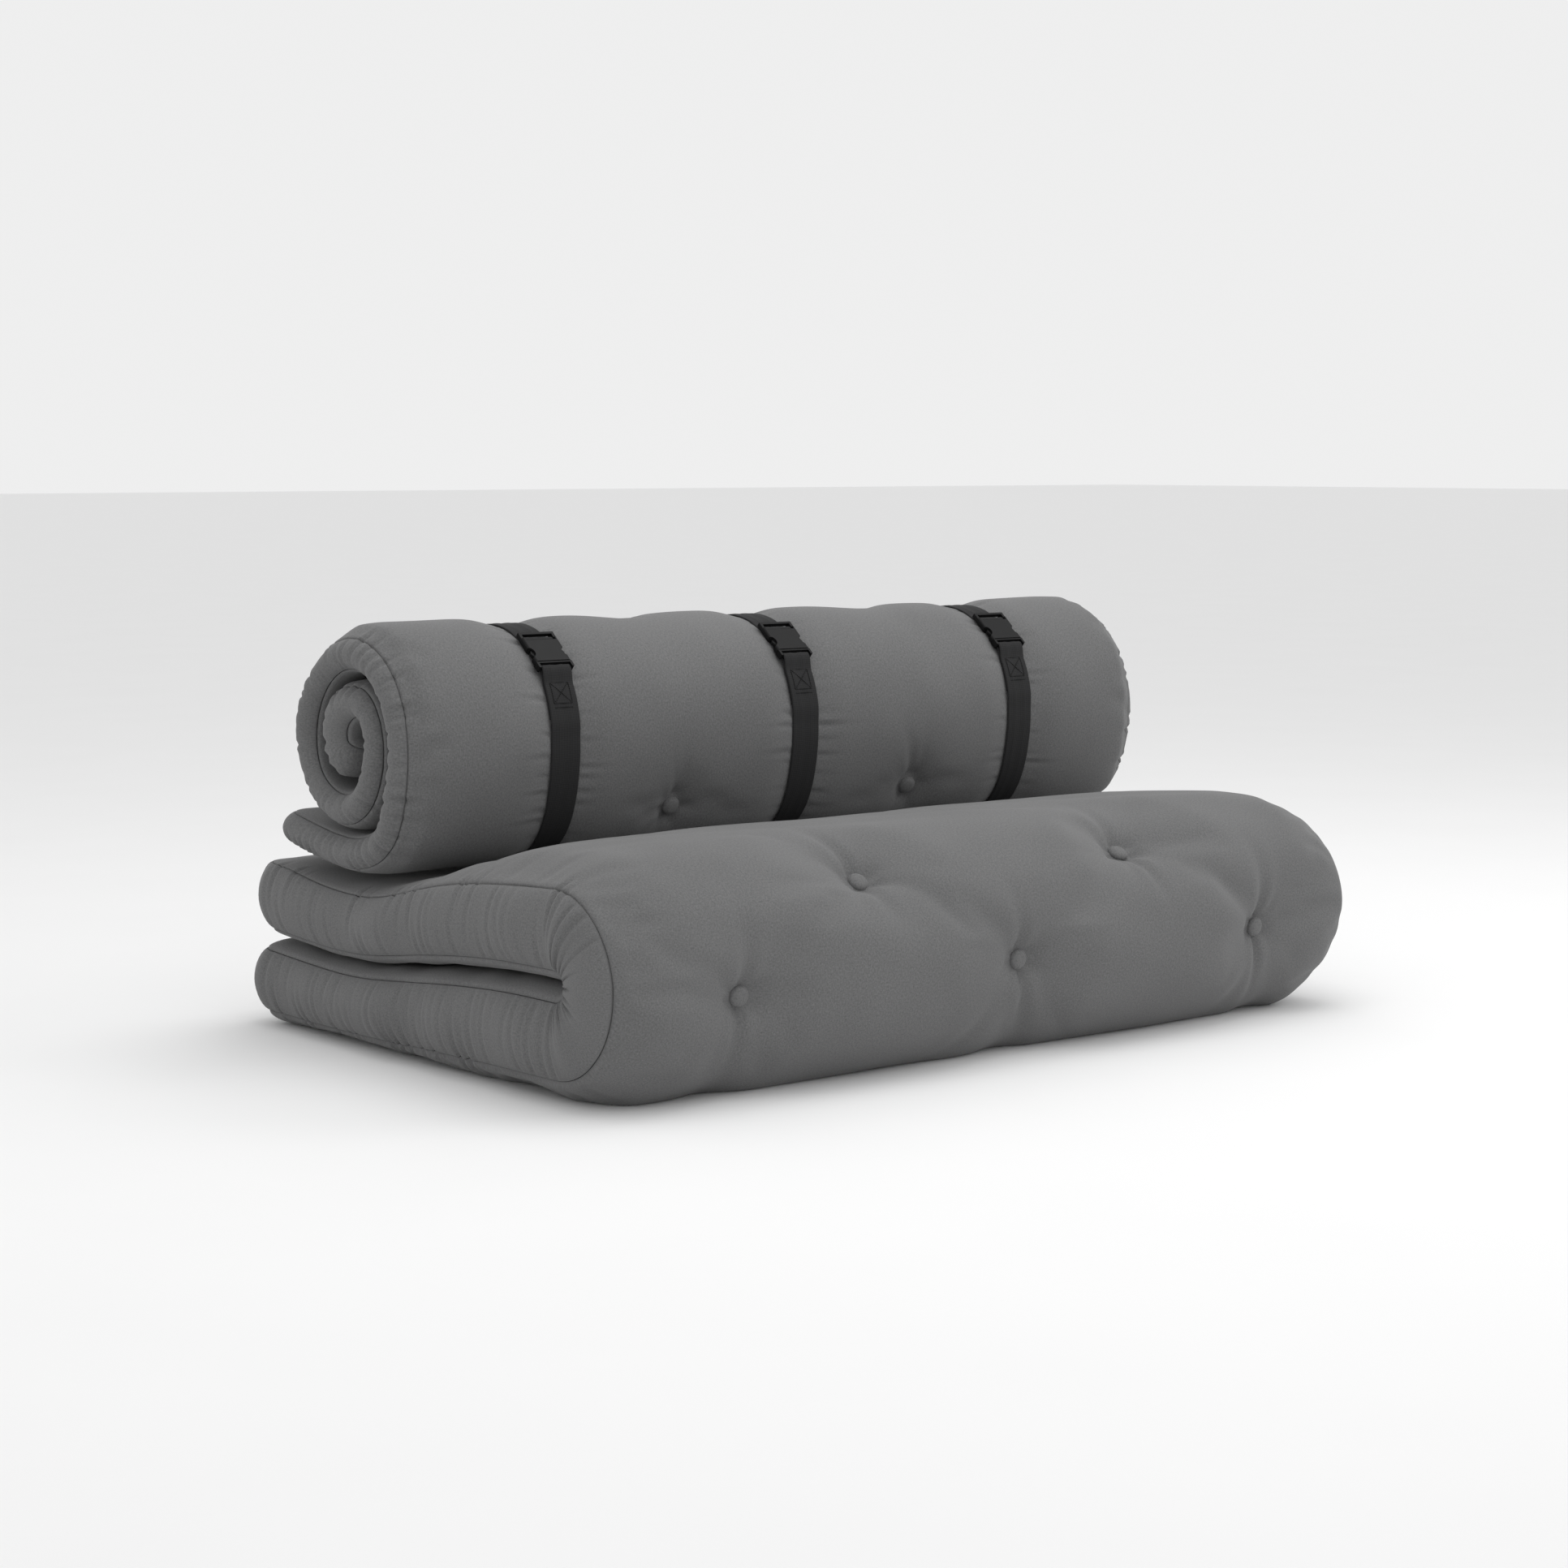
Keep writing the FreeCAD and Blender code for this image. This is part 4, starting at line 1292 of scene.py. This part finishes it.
@dataclass
class BackRoll:
    """Thinner futon rolled up with its tail flat on the seat."""

    cloth: bpy.types.Material
    half: float = 0.029
    tuft_depth: float = 0.019
    tuft_rows: tuple[float, ...] = (0.235, 0.490, 0.64, 0.84)
    puff: float = 0.0085
    filling: float = 0.34
    most_swell: float = 0.006

    path = [(0.372, 0.300), (0.300, 0.2875), (0.225, 0.2775), (0.150, 0.2815), (0.092, 0.316),
            (0.066, 0.378), (0.062, 0.450), (0.084, 0.511), (0.130, 0.550), (0.188, 0.562),
            (0.250, 0.541), (0.293, 0.494), (0.309, 0.434), (0.294, 0.379), (0.250, 0.345),
            (0.196, 0.338), (0.150, 0.362), (0.125, 0.410), (0.128, 0.456), (0.156, 0.491),
            (0.198, 0.491), (0.230, 0.462), (0.228, 0.424), (0.210, 0.402)]

    def __post_init__(self) -> None:
        """Draws the pad's middle line."""
        self.line = SmoothLine(self.path)
        self.length = self.line.length

    def place(self, along: Grid, across: Grid, share: Grid) -> Grid:
        """Rolls flat places up."""
        spot, normal = self.line.place(along)
        loose = 1 + self.filling * smooth((along / self.length - 0.89) / 0.06)
        spot = spot + normal * (share * self.half * loose)[..., None]
        return np.stack([across, spot[..., 0], spot[..., 1]], -1)

    def tufts(self) -> dict[int, list[Tuft]]:
        """Rows of two buttons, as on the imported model."""
        spots = [(self.length * row, x) for row in self.tuft_rows for x in (-0.230, 0.230)]
        return {-1: [Tuft(*spot, self.tuft_depth * 0.55) for spot in spots],
                1: [Tuft(*spot, self.tuft_depth) for spot in spots]}

    def outermost(self, along: Grid) -> Grid:
        """1 on the outer turn, fading to 0 where the pad goes inside."""
        share = along / self.length
        return smooth((0.60 - share) / 0.06)

    def clear_of_seat(self, along: Grid) -> Grid:
        """0 where the roll rests on the seat, folded or open, 1 on the rest of the outer turn."""
        share = along / self.length
        return smooth((share - 0.15) / 0.07) * smooth((0.55 - share) / 0.08)

    def from_strap(self, across: Grid) -> Grid:
        """Distance to the nearest strap's middle."""
        return np.min([np.abs(across - x) for x in STRAP_PLACES.values()], axis=0)

    def swell(self, flat: Layout) -> Grid:
        """Fullness between the straps, and pinches beside them, on the outer turn."""
        rng = np.random.default_rng(SEED + 21)
        nearest = self.from_strap(flat.across)
        beyond = np.maximum(nearest - 0.023, 0.0)
        full = self.puff * (1 - np.exp(-((beyond / 0.036) ** 1.1)))
        for x in STRAP_PLACES.values():
            for side in (-1, 1):
                at = 0.18 * self.length
                while at < self.length * 0.60:
                    at += rng.uniform(0.010, 0.048)
                    width = rng.uniform(0.0024, 0.0042)
                    reach = rng.uniform(0.010, 0.036)
                    deep = rng.uniform(0.0008, 0.0030)
                    off = side * (flat.across - x) - 0.027
                    near = (np.abs(flat.along - at) < width * 5) & (off > -0.01) & (off < reach * 3)
                    run = (flat.along[near] - at) / width
                    fade = smooth((off[near] + 0.004) / 0.008)
                    fade = fade * np.exp(-((np.maximum(off[near], 0) / reach) ** 1.6))
                    full[near] -= deep * fade * (np.exp(-(run**2)) - 0.5 * np.exp(-((run - 1.9) ** 2)))
        return full * self.clear_of_seat(flat.along)

    def freedom(self, flat: Layout) -> Grid:
        """Share of the swelling that is left free: none under the straps or against the seat."""
        beside = 1 - np.exp(-((self.from_strap(flat.across) / 0.055) ** 4))
        return 0.7 * beside * self.clear_of_seat(flat.along)

    def creases(self, tufts: dict[int, list[Tuft]]) -> dict[int, Creases]:
        """Short star folds round each button, longest along the pad."""
        rng = np.random.default_rng(SEED + 2)
        out = {}
        for side in (1, -1):
            folds = Creases()
            for tuft in tufts[side]:
                for heading in (-12.0, 6.0, 30.0, 92.0, 150.0, 178.0, -150.0, -88.0, -48.0):
                    up = abs(heading) < 20
                    length = rng.uniform(0.07, 0.10) if up else rng.uniform(0.025, 0.055)
                    folds.add(tuft.along, tuft.across, heading + rng.normal(0, 5), length,
                              rng.uniform(0.0045, 0.0075), rng.uniform(0.0018, 0.0042))
            out[side] = folds
        return out

    def gathers(self) -> dict[int, Gathers]:
        """Puckers of the two spiral ends, deepest on the outer turn."""
        return {
            side: Gathers(np.random.default_rng(SEED + 30 + side),
                          lambda along: 0.0185,
                          lambda along: 0.0026 + 0.0040 * float(self.outermost(np.array(along))),
                          self.length, kinds=(0.55, 0.12, 0.33))
            for side in (-1, 1)
        }

    def build(self, simulate: bool) -> None:
        """Makes the rolled pad and its buttons."""
        tufts = self.tufts()
        crowns = {1: Crown(even(0.036), 0.14, even(0.15)), -1: Crown(even(0.020), 0.10, even(0.05))}
        pad = FlatPad(self.length, HALF_WIDTH, thickness=2 * self.half, corner=0.022, bulge=0.0175,
                      outer_seam=even(0.66), inner_seam=0.80, crowns=crowns, tufts=tufts,
                      seam_groove=0.0006, tuft_spread=0.040, straps=tuple(STRAP_PLACES.values()))
        fields = pad.inflate(SOLVER_SQUARE, self.most_swell, "roll_working") if simulate else None
        fine = 0.0032 if simulate else 0.005
        stations = np.linspace(0, self.length, round(self.length / fine) + 1)
        t = np.linspace(-1, 1, 260 if simulate else 180)
        columns = np.sign(t) * (1 - (1 - np.abs(t)) ** 1.15)
        sewing = Sewing(self.creases(tufts), self.gathers(),
                        {1: self.swell, -1: nowhere},
                        {1: self.freedom, -1: nowhere},
                        0.014, undulation(np.random.default_rng(SEED + 4), 0.05, 0.20), 0.0009)
        mesh = build_pad(pad, stations, columns, fields, sewing, self.place)
        roll, _ = cut_piece(mesh, BEFORE_START, PAST_END, "back_roll_futon", self.cloth)
        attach(roll, "back_roll")
        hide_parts(*[f"back_roll_{n}" for n in SOFT_NODES])
        log.info("%s: %d faces", roll.name, len(roll.data.polygons))
        rng = np.random.default_rng(SEED + 6)
        for side, word in ((1, "outer"), (-1, "inner")):
            spots = [button_seat(mesh, tuft, side, pad.button_room) for tuft in tufts[side]]
            piece = button_group(f"covered_back_roll_{word}_buttons", spots, self.cloth, rng)
            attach(piece, "back_roll")
            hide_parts(f"back_roll_{word}_buttons")
            log.info("%s: %d buttons", piece.name, len(spots))


# ---------------------------------------------------------------- straps and buckles


@dataclass
class BuckledStrap:
    """Webbing round the roll, sewn to the plug and threaded through the socket's bar."""

    webbing: bpy.types.Material
    plastic: bpy.types.Material
    thread: bpy.types.Material
    roll: BackRoll
    width: float = 0.050
    thick: float = 0.0022
    clearance: float = 0.0012
    tail_bulge: float = 0.015
    bar_radius: float = 0.0020
    thread_radius: float = 0.00068
    tilt: float = math.radians(41.0)
    origin: tuple[float, float] = (0.08474, 0.55575)
    socket_bar: tuple[float, float] = (0.021, 0.0045)
    plug_bar: tuple[float, float] = (-0.0345, 0.0050)

    def local(self, along: float, up: float) -> Grid:
        """From the buckle's own length and thickness to depth and height."""
        c, s = math.cos(self.tilt), math.sin(self.tilt)
        return np.array([self.origin[0] + along * c - up * s, self.origin[1] + along * s + up * c])

    def hull(self) -> Grid:
        """Convex outline of the roll and its tail, which the webbing follows."""
        spots, normals = self.roll.line.place(np.linspace(0, self.roll.length, 900))
        outer = spots + normals * self.roll.half
        turn = np.radians(np.linspace(-90, 90, 25))
        tip, tip_normal = spots[0], normals[0]
        back = np.array([-tip_normal[1], tip_normal[0]])
        thick = np.outer(np.sin(turn), tip_normal) * self.roll.half
        cap = tip + thick + np.outer(np.cos(turn), back) * self.tail_bulge
        return convex_outline(np.concatenate([outer, cap]))

    def run(self) -> SmoothLine:
        """The webbing's line on the roll, from the socket round the back to the plug."""
        loop = self.hull()
        start = int(np.argmin(np.linalg.norm(loop - self.local(0.050, 0.0), axis=1)))
        loop = np.roll(loop, -start, axis=0)
        plug = self.local(-0.047, 0.0)
        if np.linalg.norm(loop[1] - plug) < np.linalg.norm(loop[-1] - plug):
            loop = np.concatenate([loop[:1], loop[:0:-1]])
        stop = int(np.argmin(np.linalg.norm(loop - plug, axis=1)))
        loop = loop[:stop + 1]
        length = np.concatenate([[0], np.cumsum(np.linalg.norm(np.diff(loop, axis=0), axis=1))])
        even_steps = np.linspace(0, length[-1], 70)
        spots = [np.interp(even_steps, length, loop[:, i]) for i in (0, 1)]
        return SmoothLine(list(zip(*spots)))

    def around(self, bar: tuple[float, float], first: float, last: float) -> list[Grid]:
        """Places of the webbing's middle as it passes round a bar."""
        reach = self.bar_radius + self.thick / 2 + 0.0003
        turns = [math.radians(a) for a in np.linspace(first, last, 9)]
        return [self.local(bar[0] + reach * math.cos(a), bar[1] + reach * math.sin(a)) for a in turns]

    def middle(self) -> tuple[list[Grid], SmoothLine]:
        """The webbing's middle line, and the stretch of it on the roll."""
        line = self.run()
        s = np.linspace(0, line.length, 190)
        spots, normals = line.place(s)
        facing = (spots[95] - np.array(ROLL_CENTRE)) @ normals[95]
        normals = normals * np.sign(facing)
        rest = self.clearance + self.thick / 2
        stacked = rest + self.thick + 0.0003
        share = smooth((0.092 - (line.length - s)) / 0.03)
        on_roll = spots + normals * (rest + (stacked - rest) * share)[:, None]
        places = self.around(self.socket_bar, 170.0, 70.0) + [self.local(0.0295, 0.0012)]
        places += list(on_roll[2:-2])
        places += self.around(self.plug_bar, 110.0, -100.0)
        sewn = (spots + normals * rest)[(line.length - s) < 0.062][::-1]
        return places + list(sewn[2:]), SmoothLine([tuple(p) for p in on_roll])

    def section(self) -> list[tuple[float, float]]:
        """Outline of the webbing cut across: two raised bands, a sunk middle and round edges."""
        profile = []
        for u in np.linspace(-1, 1, 27):
            bands = 0.00042 * math.exp(-((abs(u) - 0.40) / 0.09) ** 2)
            ridge = bands - 0.00030 * math.exp(-((u / 0.14) ** 2))
            edge = self.thick / 2 * math.sqrt(max(0.0, 1 - max(0.0, (abs(u) - 0.955) / 0.045) ** 2))
            profile.append((u * self.width / 2, edge + ridge * (edge > self.thick * 0.4)))
        return profile + [(u, -t) for u, t in profile[::-1]][1:-1]

    def sweep(self, name: str, x: float, path: SmoothLine) -> bpy.types.Object:
        """The webbing: its section carried along its line, and closed at both ends."""
        s = np.linspace(0, path.length, 620)
        spot, normal = path.place(s)
        section = self.section()
        rings = len(section)
        points = np.zeros((len(s), rings, 3))
        uv = np.zeros((len(s), rings, 2))
        for k, (off, lift) in enumerate(section):
            points[:, k, 0] = x + off
            points[:, k, 1:] = spot + normal * lift
            uv[:, k, 0] = s
            uv[:, k, 1] = off
        number = np.arange(len(s) * rings).reshape(len(s), rings)
        ahead = np.roll(number, -1, axis=1)
        points = points.reshape(-1, 3)
        quads = np.stack([number[:-1], ahead[:-1], ahead[1:], number[1:]], -1).reshape(-1, 4)
        turned = facing_out(points, quads)
        ends = [number[0][::-1].tolist(), number[-1].tolist()]
        if turned is not quads:
            ends = [end[::-1] for end in ends]
        return mesh_object(f"{name}_strap", points, turned.tolist() + ends, self.webbing,
                           uv.reshape(-1, 2))

    def build(self, name: str, x: float) -> None:
        """Makes one strap and dresses its buckle."""
        places, on_roll = self.middle()
        path = SmoothLine([tuple(p) for p in places], samples=6000)
        strap = self.sweep(name, x, path)
        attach(strap, "back_roll")
        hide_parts(f"{name}_strap_webbing")
        seam = self.stitches(name, x, on_roll)
        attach(seam, "back_roll")
        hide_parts(f"{name}_strap_stitching")
        log.info("%s: %.2f m long", strap.name, path.length)
        log.info("%s: %d faces", seam.name, len(seam.data.polygons))
        self.dress_buckle(name)

    def stitches(self, name: str, x: float, line: SmoothLine) -> bpy.types.Object:
        """Box-and-cross seam with a bar above and below it, stitch by stitch."""
        half = 0.0155
        centre = line.length - 0.024
        runs = [((-half, c), (half, c)) for c in (-half - 0.006, -half, half, half + 0.006)]
        runs += [((c, -half), (c, half)) for c in (-half, half)]
        runs += [((-half, -half), (half, half)), ((-half, half), (half, -half))]
        points: list[Grid] = []
        faces: list[Grid] = []
        pitch = 0.0029
        total = 0
        for (u0, v0), (u1, v1) in runs:
            length = math.hypot(u1 - u0, v1 - v0)
            count = max(2, round(length / pitch))
            for k in range(count):
                a = (k + 0.06) / count
                b = (k + 0.94) / count
                p, f = self.one_stitch(line, x, centre, (u0 + (u1 - u0) * a, v0 + (v1 - v0) * a),
                                       (u0 + (u1 - u0) * b, v0 + (v1 - v0) * b))
                points.append(p)
                faces.append(f + total)
                total += len(p)
        return mesh_object(f"{name}_box_seam", np.concatenate(points), np.concatenate(faces), self.thread)

    def one_stitch(self, line: SmoothLine, x: float, centre: float, start: tuple[float, float],
                   end: tuple[float, float]) -> tuple[Grid, Grid]:
        """A short round thread that dips into the webbing at both ends."""
        turns = 6
        shares = np.array([0.0, 0.25, 0.5, 0.75, 1.0])
        u = start[0] + (end[0] - start[0]) * shares
        v = start[1] + (end[1] - start[1]) * shares
        spot, normal = line.place(centre - v)
        facing = np.sign((spot[0] - np.array(ROLL_CENTRE)) @ normal[0])
        normal = normal * facing
        lift = self.thick / 2 + 0.0006 * np.sin(math.pi * shares) + 0.0001
        middle = np.stack([x + u, spot[:, 0] + normal[:, 0] * lift, spot[:, 1] + normal[:, 1] * lift], -1)
        up = np.array([0.0, normal[2, 0], normal[2, 1]])
        along = middle[-1] - middle[0]
        along /= np.linalg.norm(along)
        side = np.cross(along, up)
        points = []
        for k, share in enumerate(shares):
            reach = self.thread_radius * (0.45 + 0.55 * math.sin(math.pi * share))
            for j in range(turns):
                angle = 2 * math.pi * j / turns
                points.append(middle[k] + side * reach * math.cos(angle) + up * reach * math.sin(angle))
        number = np.arange(len(points)).reshape(len(shares), turns)
        ahead = np.roll(number, -1, axis=1)
        quads = np.stack([number[:-1], ahead[:-1], ahead[1:], number[1:]], -1).reshape(-1, 4)
        return np.array(points), facing_out(np.array(points), quads)

    def dress_buckle(self, name: str) -> None:
        """Gives the buckle's moulded parts their finish and rounded edges."""
        for part in ("socket", "plug", "left_prong", "right_prong"):
            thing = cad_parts[f"{name}_buckle_{part}"]
            thing.data.materials.clear()
            thing.data.materials.append(self.plastic)
            bevel = thing.modifiers.new("moulded_edges", "BEVEL")
            bevel.width = 0.0005
            bevel.segments = 2
            bevel.limit_method = "ANGLE"
            bevel.angle_limit = math.radians(35)
            bevel.harden_normals = True
            log.info("%s: dressed", thing.name)


# ---------------------------------------------------------------- studio


@dataclass
class Studio:
    """Pale floor, soft lights and the camera."""

    camera_place: tuple[float, float, float] = (-2.9482, -3.6051, 0.837)
    camera_tilt: float = 83.99
    camera_turn: float = -38.65
    lens: float = 71.77

    def build(self) -> None:
        """Sets everything up."""
        scene = bpy.context.scene
        camera = bpy.data.cameras.new("camera")
        camera.lens = self.lens
        camera.sensor_width = 36.0
        thing = bpy.data.objects.new("camera", camera)
        thing.location = self.camera_place
        thing.rotation_euler = (math.radians(self.camera_tilt), 0.0, math.radians(self.camera_turn))
        scene.collection.objects.link(thing)
        scene.camera = thing
        self.lay_floor()
        self.light("top_light", (0.2, -0.4, 3.2), (0.0, 0.05, 0.2), (2.6, 2.0), 34.0)
        self.light("right_light", (3.2, -2.4, 2.4), (0.3, 0.0, 0.2), (1.8, 1.8), 26.0)
        self.light("front_light", (-1.2, -4.6, 2.2), (0.0, 0.0, 0.2), (2.2, 1.8), 5.0)
        world = bpy.data.worlds.new("studio_air")
        world.use_nodes = True
        air = world.node_tree.nodes["Background"]
        air.inputs["Color"].default_value = (1.0, 1.0, 1.0, 1.0)
        air.inputs["Strength"].default_value = 0.86
        scene.world = world
        scene.view_settings.view_transform = "Standard"
        log.info("studio: floor, camera and lights")

    def lay_floor(self) -> None:
        """A broad floor, just under the object."""
        steps = np.linspace(-60, 60, 9)
        points = [(x, y, -0.0005) for x in steps for y in steps]
        faces = panel_faces(9, 9, 0, True)
        floor = mesh_object("floor", np.array(points), faces, StudioFloor().make())

    def light(self, name: str, place: tuple[float, float, float], target: tuple[float, float, float],
              size: tuple[float, float], power: float) -> None:
        """A soft rectangular light aimed at a target."""
        lamp = bpy.data.lights.new(name, "AREA")
        lamp.shape = "RECTANGLE"
        lamp.size, lamp.size_y = size
        lamp.energy = power
        thing = bpy.data.objects.new(name, lamp)
        away = np.array(place) - np.array(target)
        flat = math.hypot(away[0], away[1])
        thing.location = place
        heading = math.atan2(away[1], away[0]) + math.pi / 2
        thing.rotation_euler = (math.atan2(flat, away[2]), 0.0, heading)
        bpy.context.scene.collection.objects.link(thing)


def main() -> None:
    """Builds everything in order."""
    logging.basicConfig(level=logging.INFO, format="%(name)s %(message)s")
    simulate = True
    Studio().build()
    cloth = WovenCloth().make()
    webbing = StrapWebbing().make()
    plastic = MouldedPlastic().make()
    thread = SewingThread().make()
    SeatFuton(cloth).build(simulate)
    roll = BackRoll(cloth)
    roll.build(simulate)
    strap = BuckledStrap(webbing, plastic, thread, roll)
    for name, x in STRAP_PLACES.items():
        strap.build(name, x)
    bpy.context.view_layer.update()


if __name__ == "__main__":
    main()
